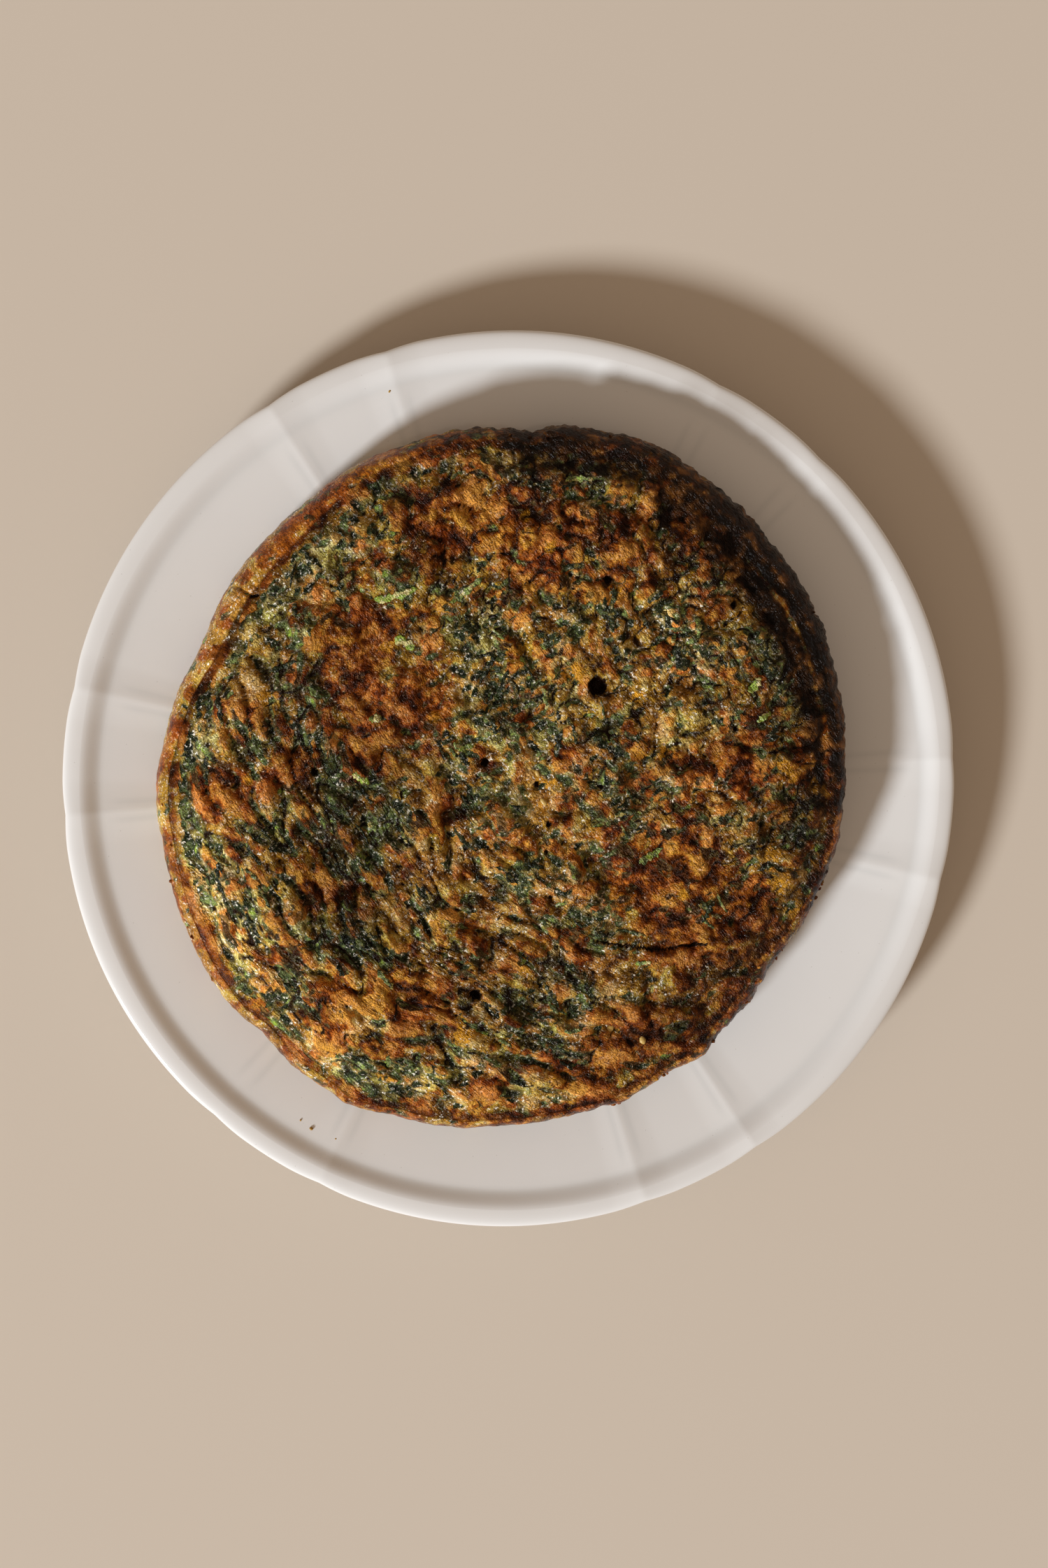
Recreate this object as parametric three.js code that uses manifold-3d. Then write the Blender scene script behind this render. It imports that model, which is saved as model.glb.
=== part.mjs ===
// A plate of chard omelette: a white plate with a raised lip and twelve pressed
// creases, and on it a thick round omelette of eggs and shredded chard.
// Millimetres, +Z up. The origin is on the table, in the middle of the plate's foot.

import * as THREE from "three";
import { mergeVertices } from "three/addons/utils/BufferGeometryUtils.js";
import Module from "manifold-3d";

const wasm = await Module();
wasm.setup();

const { degToRad, euclideanModulo, lerp, radToDeg, smoothstep } = THREE.MathUtils;

// Plate, along its section from the middle out
const PLATE_RADIUS = 135;
const CHINA_THICKNESS = 4.2;
const FOOT_RADIUS = 83;
const FOOT_WIDTH = 3.6;
const FOOT_EDGE = 0.5;
const WELL_RADIUS = 80;
const WELL_TOP = 6;
const WALL_RADIUS = 93;
const WALL_RISE = 7;
const PANEL_SLOPE = 0.125;
const LIP_FOOT_RADIUS = 123.8;
const LIP_CREST_RADIUS = 129.8;
const LIP_RISE = 1.5;
const BEAD_RADIUS = 130;
const BEAD_HALF_THICKNESS = 2.3;
const BEAD_SQUARENESS = 0.6;

// Creases pressed into the plate: two beside each of six corners
const CREASE_CORNERS = 6;
const CREASE_TURN = -4.9;
const CREASE_SPREAD = 8.1;
const CREASE_HALF_WIDTH = 4.4;
const CREASE_HEIGHT = 0.5;
const CREASE_START_RADIUS = 86;
const NOTCH_DEPTH = 0.6;
const CREASE_POWER = 1.5;
const PANEL_SWELL = 0.4;

// Omelette
const OMELETTE_MIDDLE = new THREE.Vector2(-3.7, 2.4);
const OMELETTE_RADIUS = 103.6;
const OVAL_STRETCH = 3.4;
const OVAL_TURN = 57;
const WAIST_HEIGHT = 22;
const RIM_HEIGHT = 33;
const CROWN_RISE = 6.3;
const CROWN_POWER = 8;
const UNDER_TUCK = 8.5;
const REST_GAP = 0.35;
const RIM_RIDGE = 0.7;
const RIM_RIDGE_WIDTH = 1.8;
const GROOVE_INSET = 4.8;
const GROOVE_WIDTH = 2.6;

// Bulges and dents of its outline: direction and half width in degrees, size in mm
const SWELLS = [
  { at: 18, spread: 8, out: -0.4 },
  { at: 40, spread: 5, out: -0.6 },
  { at: 66, spread: 8, out: 1.5 },
  { at: 86, spread: 3, out: -2.3 },
  { at: 91, spread: 4, out: -1 },
  { at: 116, spread: 6, out: 0.9 },
  { at: 156, spread: 7, out: -1.7 },
  { at: 181, spread: 8, out: 1.3 },
  { at: 226, spread: 5, out: -1.8 },
  { at: 244, spread: 4, out: 1.3 },
  { at: 272, spread: 10, out: -0.5 },
  { at: 290, spread: 3, out: 1.3 },
  { at: 305, spread: 3, out: 1.9 },
  { at: 325, spread: 6, out: -1.7 },
  { at: 348, spread: 6, out: 0.8 },
];

// How far the browned rim sits inside the outline, and how deep the groove behind it is
const RIM_INSET = 4;
const SLOPING_SIDES = [
  { at: 50, spread: 34, out: 3.5 },
  { at: 138, spread: 24, out: 3.7 },
  { at: 322, spread: 16, out: 2.7 },
];
const GROOVE_DEPTH = 0.4;
const GROOVED_SIDES = [{ at: 205, spread: 52, out: 1.3 }];

// Where the rim hangs lower, with a broad low swell inside it
const LOWERED_SIDES = [{ at: 205, spread: 50, out: 3 }];
const SWOLLEN_SIDES = [{ at: 205, spread: 50, out: 3 }];
const SWELL_INSET = 20;
const SWELL_WIDTH = 15;

// Blisters and wrinkles of the top, coarse and fine
const RELIEF = [
  { wavelength: 27, height: 1.3, seed: 3 },
  { wavelength: 12, height: 1.5, seed: 8 },
];

// Burst bubbles in the top: middle, radius and depth
const HOLES = [
  { x: 24.8, y: 28.1, radius: 2.5, depth: 3.6 },
  { x: -8.3, y: 6.1, radius: 1.1, depth: 2 },
  { x: -57.5, y: 3.8, radius: 0.9, depth: 1.6 },
  { x: 7.2, y: -0.7, radius: 1.1, depth: 1.8 },
  { x: 10.4, y: -12.2, radius: 0.9, depth: 1.6 },
  { x: 10, y: -20.5, radius: 0.9, depth: 1.6 },
  { x: 11.2, y: -34, radius: 0.9, depth: 1.6 },
  { x: -10.9, y: -62.4, radius: 1.7, depth: 2.4 },
  { x: 27.7, y: 58.9, radius: 1.2, depth: 2 },
  { x: 25.9, y: -1.6, radius: 0.9, depth: 1.6 },
  { x: 65.4, y: 15.4, radius: 1, depth: 1.6 },
];

// Torn flakes and lumps of crust: middle, half sizes and turn
const CRAGS = [
  { x: 13.6, y: 101.9, z: 31.6, half: [4.6, 1.7, 1.6], turn: -10 },
  { x: 7.8, y: 101.1, z: 31.2, half: [2.2, 1.5, 1.2], turn: 35 },
  { x: 35.3, y: 99.1, z: 30.6, half: [2.6, 1.2, 1.2], turn: -25 },
  { x: -89, y: 31.5, z: 31.6, half: [4.6, 3.6, 1.5], turn: 60 },
  { x: -79.9, y: 51.4, z: 32.5, half: [4.4, 2, 1.5], turn: 50 },
  { x: 57.6, y: -82.3, z: 31.5, half: [3.4, 2, 1.7], turn: 40 },
  { x: 41.7, y: -92, z: 30.4, half: [2.6, 1.8, 1.4], turn: 25 },
];

// How much of the blisters is left at the rim
const RIM_CALM = 0.4;

// How finely the solids are faceted
const CORNER_COLUMN = 1.9;
const PANEL_COLUMNS = [16.5, 23];
const WALL_STEPS = 5;
const LIP_STEPS = 3;
const BEAD_STEPS = 5;
const TOP_CELLS = 40;
const UNDER_STEP = 2.8;
const SIDE_STEPS = 3;
const RIM_STEPS = 4;
const PIT_SIDES = 8;
const PIT_RINGS = 6;

// From 1 in the middle to 0 on both sides
function bell(distance, width) {
  return Math.exp(-((distance / width) ** 2));
}

// The sum of the swellings at one direction, each largest at its middle
function swelling(list, degrees) {
  return list.reduce((sum, { at, spread, out }) => {
    const apart = euclideanModulo(degrees - at + 180, 360) - 180;
    return sum + out * bell(apart, spread);
  }, 0);
}

// From 0 clear of the creases to 1 on one, with a sharp back.
function crease(degrees) {
  const sector = 360 / CREASE_CORNERS;
  const fromCorner = euclideanModulo(degrees - CREASE_TURN + sector / 2, sector) - sector / 2;
  const apart = Math.abs(Math.abs(fromCorner) - CREASE_SPREAD);
  return Math.max(0, 1 - apart / CREASE_HALF_WIDTH) ** CREASE_POWER;
}

// The wide panels between the pairs of creases swell out a little.
function panelSwell(degrees) {
  const sector = 360 / CREASE_CORNERS;
  return PANEL_SWELL * (0.5 - 0.5 * Math.cos(degToRad(((degrees - CREASE_TURN) / sector) * 360)));
}

function dish(radius) {
  const wall = WALL_RISE * smoothstep(radius, WELL_RADIUS, WALL_RADIUS);
  return WELL_TOP + wall + PANEL_SLOPE * Math.max(0, radius - WALL_RADIUS);
}

function plateTop(radius) {
  return dish(radius) + LIP_RISE * smoothstep(radius, LIP_FOOT_RADIUS, LIP_CREST_RADIUS);
}

function creaseHeight(radius, degrees) {
  return CREASE_HEIGHT * crease(degrees) * smoothstep(radius, CREASE_START_RADIUS, WALL_RADIUS);
}

// Collects the points and faces of a closed solid. Rings run counter-clockwise seen from above.
class Skin {
  positions = [];
  indices = [];

  point(place) {
    this.positions.push(...place.toArray());
    return this.positions.length / 3 - 1;
  }

  ring(places) {
    return places.map((place) => this.point(place));
  }

  // Faces between two rings, the first of which comes earlier on the way from under
  // the solid, round its edge and over its top
  band(first, second) {
    first.forEach((number, column) => {
      const next = (column + 1) % first.length;
      this.face(number, first[next], second[next]);
      this.face(number, second[next], second[column]);
    });
  }

  floor(middle, ring) {
    ring.forEach((number, column) => this.face(middle, ring[(column + 1) % ring.length], number));
  }

  cover(middle, ring) {
    ring.forEach((number, column) => this.face(number, ring[(column + 1) % ring.length], middle));
  }

  face(...corners) {
    this.indices.push(...corners);
  }

  geometry() {
    const geometry = new THREE.BufferGeometry();
    geometry.setAttribute("position", new THREE.Float32BufferAttribute(this.positions, 3));
    geometry.setIndex(this.indices);
    return geometry;
  }
}

function polar(radius, degrees, z) {
  const angle = degToRad(degrees);
  return new THREE.Vector3(radius * Math.cos(angle), radius * Math.sin(angle), z);
}

// Directions of the plate's columns, close together at the creases
function plateDirections() {
  const fromCrease = [-1, -0.5, 0, 0.5, 1].map((step) => CREASE_SPREAD + step * CREASE_HALF_WIDTH);
  const half = [CORNER_COLUMN, ...fromCrease, ...PANEL_COLUMNS];
  const sector = 360 / CREASE_CORNERS;
  const offsets = [0, ...half, sector / 2, ...half.map((offset) => sector - offset).reverse()];
  const directions = [];
  for (let corner = 0; corner < CREASE_CORNERS; corner += 1) {
    directions.push(...offsets.map((offset) => CREASE_TURN + corner * sector + offset));
  }
  return directions;
}

function plateGeometry() {
  const directions = plateDirections();
  const ring = (place) => directions.map((degrees) => place(degrees));
  const plain = (radius, z) => ring((degrees) => polar(radius, degrees, z));
  const onTop = (radius) =>
    ring((degrees) => polar(radius, degrees, plateTop(radius) + creaseHeight(radius, degrees)));
  const below = (radius) =>
    ring((degrees) => {
      const z = dish(radius) - CHINA_THICKNESS + creaseHeight(radius, degrees);
      return polar(radius, degrees, z);
    });

  const underWell = WELL_TOP - CHINA_THICKNESS;
  const footInside = FOOT_RADIUS - FOOT_WIDTH / 2;
  const footOutside = FOOT_RADIUS + FOOT_WIDTH / 2;
  const rings = [
    plain(footInside - FOOT_EDGE, underWell),
    plain(footInside, FOOT_EDGE),
    plain(footInside + FOOT_EDGE, 0),
    plain(footOutside - FOOT_EDGE, 0),
    plain(footOutside, FOOT_EDGE),
    below(footOutside + 2 * FOOT_EDGE),
    below(lerp(footOutside, WALL_RADIUS, 0.55)),
    below(WALL_RADIUS),
    below(LIP_FOOT_RADIUS),
  ];

  // The lip's rounded bead, from its underside over its outer edge, notched at the creases
  const beadReach = PLATE_RADIUS - BEAD_RADIUS;
  const beadMiddle = plateTop(BEAD_RADIUS) - BEAD_HALF_THICKNESS;
  for (let step = 0; step <= BEAD_STEPS; step += 1) {
    const angle = degToRad(lerp(-90, 90, step / BEAD_STEPS));
    rings.push(
      ring((degrees) => {
        const reach = beadReach + panelSwell(degrees) - NOTCH_DEPTH * crease(degrees);
        const radius = BEAD_RADIUS + reach * Math.abs(Math.cos(angle)) ** BEAD_SQUARENESS;
        const lift = Math.sign(angle) * Math.abs(Math.sin(angle)) ** BEAD_SQUARENESS;
        const z = beadMiddle + BEAD_HALF_THICKNESS * lift;
        return polar(radius, degrees, z + creaseHeight(radius, degrees));
      }),
    );
  }
  for (let step = 0; step <= LIP_STEPS; step += 1) {
    rings.push(onTop(lerp(LIP_CREST_RADIUS, LIP_FOOT_RADIUS, step / LIP_STEPS)));
  }
  for (let step = 0; step <= WALL_STEPS; step += 1) {
    rings.push(onTop(lerp(WALL_RADIUS, WELL_RADIUS, step / WALL_STEPS)));
  }

  const skin = new Skin();
  const numbered = rings.map((places) => skin.ring(places));
  skin.floor(skin.point(polar(0, 0, underWell)), numbered[0]);
  numbered.slice(1).forEach((next, index) => skin.band(numbered[index], next));
  skin.cover(skin.point(polar(0, 0, WELL_TOP)), numbered.at(-1));
  return skin.geometry();
}

function omeletteOutline(degrees) {
  const oval = OVAL_STRETCH * Math.cos(2 * degToRad(degrees - OVAL_TURN));
  return OMELETTE_RADIUS + oval + swelling(SWELLS, degrees);
}

function rimInset(degrees) {
  return RIM_INSET + swelling(SLOPING_SIDES, degrees);
}

function fraction(value) {
  return value - Math.floor(value);
}

// Smooth noise from -1 to 1 between the points of a square lattice one unit apart.
function noise(x, y, seed) {
  const corner = (i, j) => 2 * fraction(Math.sin(i * 127.1 + j * 311.7 + seed * 74.7) * 43758.5453) - 1;
  const i = Math.floor(x);
  const j = Math.floor(y);
  const across = smoothstep(x - i, 0, 1);
  const along = smoothstep(y - j, 0, 1);
  const near = lerp(corner(i, j), corner(i + 1, j), across);
  const far = lerp(corner(i, j + 1), corner(i + 1, j + 1), across);
  return lerp(near, far, along);
}

function relief(x, y) {
  return RELIEF.reduce((sum, { wavelength, height, seed }) => {
    return sum + height * noise((2 * x) / wavelength, (2 * y) / wavelength, seed);
  }, 0);
}

// A point of the omelette's top, share of the way from its middle to its browned rim
function topPoint(share, degrees) {
  const rimRadius = omeletteOutline(degrees) - rimInset(degrees);
  const point = polar(share * rimRadius, degrees, 0);
  const fromRim = (1 - share) * rimRadius;
  const ridge = RIM_RIDGE * bell(fromRim, RIM_RIDGE_WIDTH);
  const depth = GROOVE_DEPTH + swelling(GROOVED_SIDES, degrees);
  const groove = depth * bell(fromRim - GROOVE_INSET, GROOVE_WIDTH);
  const rough = relief(point.x, point.y) * lerp(RIM_CALM, 1, smoothstep(fromRim, 0, 2 * GROOVE_INSET));
  const fall = (CROWN_RISE + swelling(LOWERED_SIDES, degrees)) * share ** CROWN_POWER;
  const swell = swelling(SWOLLEN_SIDES, degrees) * bell(fromRim - SWELL_INSET, SWELL_WIDTH);
  point.z = RIM_HEIGHT + CROWN_RISE - fall + swell + ridge - groove + rough;
  return point;
}

// The side, from 0 where it meets the plate to 1 at its waist to 2 at the browned rim
function sidePoint(turn, degrees) {
  const angle = degToRad(90 * (turn - 1));
  const below = turn < 1;
  const inset = (below ? UNDER_TUCK : rimInset(degrees)) * (1 - Math.cos(angle));
  const radius = omeletteOutline(degrees) - inset;
  const end = below ? underPoint(radius, degrees).z : topPoint(1, degrees).z;
  return polar(radius, degrees, lerp(WAIST_HEIGHT, end, Math.abs(Math.sin(angle))));
}

// A point of the underside, lying just clear of the plate and of its creases
function underPoint(radius, degrees) {
  const point = polar(radius, degrees, 0);
  const fromPlateMiddle = Math.hypot(point.x + OMELETTE_MIDDLE.x, point.y + OMELETTE_MIDDLE.y);
  const overCreases = CREASE_HEIGHT + REST_GAP;
  const lift = overCreases * smoothstep(fromPlateMiddle, WELL_RADIUS, CREASE_START_RADIUS);
  point.z = dish(fromPlateMiddle) + REST_GAP + lift;
  return point;
}

// A square of cells bent into a disc, so that the top's facets are all of about one size
function squareToDisc(across, along) {
  if (across === 0 && along === 0) {
    return { share: 0, degrees: 0 };
  }
  if (Math.abs(across) > Math.abs(along)) {
    const degrees = (45 * along) / across;
    return { share: Math.abs(across), degrees: across > 0 ? degrees : degrees + 180 };
  }
  const degrees = 90 - (45 * across) / along;
  return { share: Math.abs(along), degrees: along > 0 ? degrees : degrees + 180 };
}

// The cells on the square's border, counter-clockwise from its corner at 225 degrees
function borderCells() {
  const cells = [];
  for (let step = 0; step < TOP_CELLS; step += 1) cells.push([step, 0]);
  for (let step = 0; step < TOP_CELLS; step += 1) cells.push([TOP_CELLS, step]);
  for (let step = TOP_CELLS; step > 0; step -= 1) cells.push([step, TOP_CELLS]);
  for (let step = TOP_CELLS; step > 0; step -= 1) cells.push([0, step]);
  return cells;
}

function omeletteBody() {
  const place = (cell) => squareToDisc(...cell.map((step) => (2 * step) / TOP_CELLS - 1));
  const border = borderCells();
  const directions = border.map((cell) => place(cell).degrees);
  const skin = new Skin();
  const ring = (point) => skin.ring(directions.map((degrees) => point(degrees)));

  const foot = (degrees) => omeletteOutline(degrees) - UNDER_TUCK;
  const rings = [
    ring((degrees) => underPoint(WELL_RADIUS - UNDER_STEP, degrees)),
    ring((degrees) => underPoint(WELL_RADIUS + UNDER_STEP, degrees)),
    ring((degrees) => underPoint(WELL_RADIUS + 3 * UNDER_STEP, degrees)),
    ring((degrees) => underPoint(lerp(WELL_RADIUS + 3 * UNDER_STEP, foot(degrees), 0.5), degrees)),
  ];
  for (let step = 0; step < SIDE_STEPS; step += 1) {
    rings.push(ring((degrees) => sidePoint(step / SIDE_STEPS, degrees)));
  }
  for (let step = 0; step <= RIM_STEPS; step += 1) {
    rings.push(ring((degrees) => sidePoint(1 + step / RIM_STEPS, degrees)));
  }
  skin.floor(skin.point(polar(0, 0, WELL_TOP + REST_GAP)), rings[0]);
  rings.slice(1).forEach((next, index) => skin.band(rings[index], next));

  const numbers = new Map(border.map((cell, column) => [cell.join(), rings.at(-1)[column]]));
  const number = (...cell) => {
    if (!numbers.has(cell.join())) {
      const { share, degrees } = place(cell);
      numbers.set(cell.join(), skin.point(topPoint(share, degrees)));
    }
    return numbers.get(cell.join());
  };
  for (let i = 0; i < TOP_CELLS; i += 1) {
    for (let j = 0; j < TOP_CELLS; j += 1) {
      const corners = [number(i, j), number(i + 1, j), number(i + 1, j + 1), number(i, j + 1)];
      // Each cell is split along the diagonal that points at the middle.
      const first = i < TOP_CELLS / 2 === j < TOP_CELLS / 2 ? 0 : 1;
      const turned = [...corners.slice(first), ...corners.slice(0, first)];
      skin.face(turned[0], turned[1], turned[2]);
      skin.face(turned[0], turned[2], turned[3]);
    }
  }
  return skin.geometry();
}

function asSolid(geometry) {
  const bare = geometry.clone();
  bare.deleteAttribute("normal");
  bare.deleteAttribute("uv");
  const merged = mergeVertices(bare);
  return new wasm.Manifold(
    new wasm.Mesh({
      numProp: 3,
      vertProperties: Float32Array.from(merged.getAttribute("position").array),
      triVerts: Uint32Array.from(merged.getIndex().array),
    }),
  );
}

function asGeometry(solid) {
  const { vertProperties, triVerts } = solid.getMesh();
  const geometry = new THREE.BufferGeometry();
  geometry.setAttribute("position", new THREE.BufferAttribute(vertProperties, 3));
  geometry.setIndex(new THREE.BufferAttribute(triVerts, 1));
  return geometry;
}

function crag({ x, y, z, half, turn }) {
  const lump = new THREE.IcosahedronGeometry(1, 0);
  lump.scale(...half);
  lump.rotateZ(degToRad(turn));
  lump.translate(x, y, z);
  return asSolid(lump);
}

// A burst bubble: a round pit whose middle lies on the top
function pit({ x, y, radius, depth }) {
  const share = Math.hypot(x, y) / (omeletteOutline(0) - rimInset(0));
  const degrees = radToDeg(Math.atan2(y, x));
  const bubble = new THREE.SphereGeometry(1, PIT_SIDES, PIT_RINGS);
  bubble.rotateX(Math.PI / 2);
  bubble.scale(radius, radius, depth);
  bubble.translate(x, y, topPoint(share, degrees).z);
  return asSolid(bubble);
}

function omeletteGeometry() {
  const body = CRAGS.reduce((whole, lump) => whole.add(crag(lump)), asSolid(omeletteBody()));
  return asGeometry(HOLES.reduce((whole, hole) => whole.subtract(pit(hole)), body));
}

const glaze = new THREE.MeshStandardMaterial({ color: 0xe9e7e4, roughness: 0.12, metalness: 0 });
const friedEgg = new THREE.MeshStandardMaterial({ color: 0x5a4220, roughness: 0.45, metalness: 0 });

const plate = new THREE.Mesh(plateGeometry(), glaze);
plate.name = "plate";

const omelette = new THREE.Mesh(omeletteGeometry(), friedEgg);
omelette.name = "omelette";
omelette.position.set(OMELETTE_MIDDLE.x, OMELETTE_MIDDLE.y, 0);

const plateOfOmelette = new THREE.Group();
plateOfOmelette.add(plate, omelette);

export default plateOfOmelette;
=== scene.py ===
import math
import random

import bpy
import numpy as np
from mathutils import Matrix, Vector


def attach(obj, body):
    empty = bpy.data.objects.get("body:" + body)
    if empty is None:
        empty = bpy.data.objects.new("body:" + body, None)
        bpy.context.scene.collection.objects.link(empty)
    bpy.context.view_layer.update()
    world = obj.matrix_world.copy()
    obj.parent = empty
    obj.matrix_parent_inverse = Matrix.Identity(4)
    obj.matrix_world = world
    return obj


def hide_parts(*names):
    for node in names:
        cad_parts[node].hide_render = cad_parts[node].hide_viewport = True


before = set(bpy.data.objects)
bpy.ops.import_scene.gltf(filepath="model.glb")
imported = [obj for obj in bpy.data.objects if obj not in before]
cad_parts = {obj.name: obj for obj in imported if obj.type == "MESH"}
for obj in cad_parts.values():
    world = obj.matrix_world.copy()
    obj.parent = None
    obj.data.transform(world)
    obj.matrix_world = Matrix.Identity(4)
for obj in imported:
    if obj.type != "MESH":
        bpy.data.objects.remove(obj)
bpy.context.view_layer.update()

MM = 0.001

# The plate is white porcelain, pressed in a mould and glazed all over but for its foot.
# A flat well and a sloping panel end in a rounded lip, and pairs of soft creases run out
# over the panel and nick the lip.
PLATE_RADIUS = 135
CHINA_THICKNESS = 4.2
FOOT_RADIUS = 83
FOOT_WIDTH = 3.6
FOOT_EDGE = 0.5
WELL_RADIUS = 80
WELL_TOP = 6
WALL_RADIUS = 93
WALL_RISE = 7
PANEL_SLOPE = 0.125
LIP_FOOT_RADIUS = 123.8
LIP_CREST_RADIUS = 129.8
LIP_RISE = 1.5
BEAD_RADIUS = 130
BEAD_HALF_THICKNESS = 2.3
BEAD_SQUARENESS = 0.6
CREASE_CORNERS = 6
CREASE_TURN = -4.9
CREASE_SPREAD = 8.1
CREASE_HALF_WIDTH = 4.4
CREASE_HEIGHT = 0.5
CREASE_START_RADIUS = 86
# Glaze pools in thin lines beside a crease's back, painted darker there as shade too: how far from it and
# how wide in degrees
CREASE_LINE_APART = 1.3
CREASE_LINE_WIDTH = 0.5
NOTCH_DEPTH = 0.6
PANEL_SWELL = 0.4
PLATE_COLUMNS = 900
# Glaze also pools at the foot of the lip, painted darker there as shade too: how far out from it and how
# wide in mm
LIP_POOL_APART = 0.8
LIP_POOL_WIDTH = 1.6
LIP_POOL_AND_SHADE = 0.6
CREASE_POOL_AND_SHADE = 0.8
CREASE_FADE = 8
CHINA_WHITE = (0.80, 0.785, 0.765, 1)
# Grey of pooled glaze, which also stands for painted shade at the lip's foot and beside the creases
POOLED_GLAZE_AND_SHADE = (0.70, 0.695, 0.68, 1)
GLAZE_DRIFT_SCALE = 22
GLAZE_DRIFT = 0.35
CLAY_SPECK = (0.32, 0.27, 0.22, 1)
CLAY_SPECK_SCALE = 260
CLAY_SPECK_RADIUS = 0.045
CLAY_SPECK_SHARE = 0.25
SCUFF_SCALE = 700
RIPPLE_SCALE = 60
RIPPLE_DEPTH = 0.4


def smoothstep(value, low, high):
    share = np.clip((value - low) / (high - low), 0, 1)
    return share * share * (3 - 2 * share)


def from_crease(degrees):
    """How far from the back of the nearest crease, in degrees."""
    sector = 360 / CREASE_CORNERS
    from_corner = (degrees - CREASE_TURN + sector / 2) % sector - sector / 2
    return np.abs(np.abs(from_corner) - CREASE_SPREAD)


def crease(degrees):
    """From 0 clear of the creases to 1 along the back of one."""
    return np.maximum(0, 1 - from_crease(degrees) / CREASE_HALF_WIDTH) ** 1.5


def dish(radius):
    wall = WALL_RISE * smoothstep(radius, WELL_RADIUS, WALL_RADIUS)
    return WELL_TOP + wall + PANEL_SLOPE * np.maximum(0, radius - WALL_RADIUS)


def plate_top(radius):
    return dish(radius) + LIP_RISE * smoothstep(radius, LIP_FOOT_RADIUS, LIP_CREST_RADIUS)


def polar(radius, degrees, z):
    angle = np.radians(degrees)
    radius, z = np.broadcast_arrays(radius, z)
    return np.stack([radius * np.cos(angle), radius * np.sin(angle), z + 0 * angle], axis=-1)


def ring_faces(columns, rings, first=0):
    """Quads between rings of one length, numbered one after the other."""
    column = np.arange(columns)
    low = first + np.arange(rings - 1)[:, None] * columns + column
    low_next = first + np.arange(rings - 1)[:, None] * columns + (column + 1) % columns
    quads = np.stack([low, low_next, low_next + columns, low + columns], axis=-1)
    return quads.reshape(-1, 4).tolist()


def new_piece(name, points, faces, material):
    """A smooth-shaded mesh from points in mm that rides on the one body."""
    mesh = bpy.data.meshes.new(name)
    mesh.from_pydata((np.asarray(points) * MM).tolist(), [], faces)
    mesh.validate()
    mesh.polygons.foreach_set("use_smooth", [True] * len(mesh.polygons))
    mesh.materials.append(material)
    piece = bpy.data.objects.new(name, mesh)
    bpy.context.scene.collection.objects.link(piece)
    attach(piece, "root")
    return piece


def add_node(tree, kind, inputs=(), **settings):
    """A node with its settings, and its inputs given as {name or number: value or output}."""
    node = tree.nodes.new(kind)
    for key, value in settings.items():
        setattr(node, key, value)
    for key, value in dict(inputs).items():
        if isinstance(value, bpy.types.NodeSocket):
            tree.links.new(value, node.inputs[key])
        else:
            node.inputs[key].default_value = value
    return node


def new_group(name, inputs, outputs):
    """An empty node group, its input node and its output node."""
    group = bpy.data.node_groups.new(name, "ShaderNodeTree")
    for title, kind in inputs.items():
        group.interface.new_socket(title, in_out="INPUT", socket_type=kind)
    for title, kind in outputs.items():
        group.interface.new_socket(title, in_out="OUTPUT", socket_type=kind)
    return group, group.nodes.new("NodeGroupInput"), group.nodes.new("NodeGroupOutput")


def new_material(name):
    """A material, its node tree and its shader."""
    material = bpy.data.materials.new(name)
    material.use_nodes = True
    tree = material.node_tree
    return material, tree, tree.nodes["Principled BSDF"]


def object_place(tree):
    return add_node(tree, "ShaderNodeTexCoord").outputs["Object"]


def attribute(tree, name, output="Fac"):
    return add_node(tree, "ShaderNodeAttribute", attribute_name=name).outputs[output]


def put_values(piece, values):
    """Writes {name: one number for each point} on a piece's mesh."""
    for name, value in values.items():
        piece.data.attributes.new(name, "FLOAT", "POINT").data.foreach_set("value", value)


def ramp(tree, value, stops):
    """A colour ramp from {position: colour} stops, and its colour output."""
    node = add_node(tree, "ShaderNodeValToRGB", {"Fac": value})
    places = node.color_ramp.elements
    while len(places) < len(stops):
        places.new(0.5)
    for place, (position, colour) in zip(places, sorted(stops.items())):
        place.position = position
        place.color = colour
    return node.outputs["Color"]


def math_node(tree, operation, first, second, clamp=False):
    inputs = {0: first, 1: second}
    return add_node(
        tree, "ShaderNodeMath", inputs, operation=operation, use_clamp=clamp
    ).outputs[0]


def times(tree, first, second):
    return math_node(tree, "MULTIPLY", first, second)


def plus(tree, first, second):
    return math_node(tree, "ADD", first, second)


def blend(tree, share, first, second):
    """The first colour, with a share from 0 to 1 of the second one."""
    inputs = {0: share, 6: first, 7: second}
    return add_node(tree, "ShaderNodeMix", inputs, data_type="RGBA").outputs[2]


def shaded(tree, colour, shade):
    """One colour multiplied by another."""
    inputs = {0: 1, 6: colour, 7: shade}
    settings = {"data_type": "RGBA", "blend_type": "MULTIPLY"}
    return add_node(tree, "ShaderNodeMix", inputs, **settings).outputs[2]


def noise_node(tree, place, scale, detail=3, roughness=0.55):
    inputs = {"Vector": place, "Scale": scale, "Detail": detail, "Roughness": roughness}
    return add_node(tree, "ShaderNodeTexNoise", inputs).outputs["Fac"]


def add_bump(tree, shader, height, strength, distance):
    inputs = {"Height": height, "Strength": strength, "Distance": distance}
    bump = add_node(tree, "ShaderNodeBump", inputs)
    tree.links.new(bump.outputs["Normal"], shader.inputs["Normal"])


def grey(value):
    return (value, value, value, 1)


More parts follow.
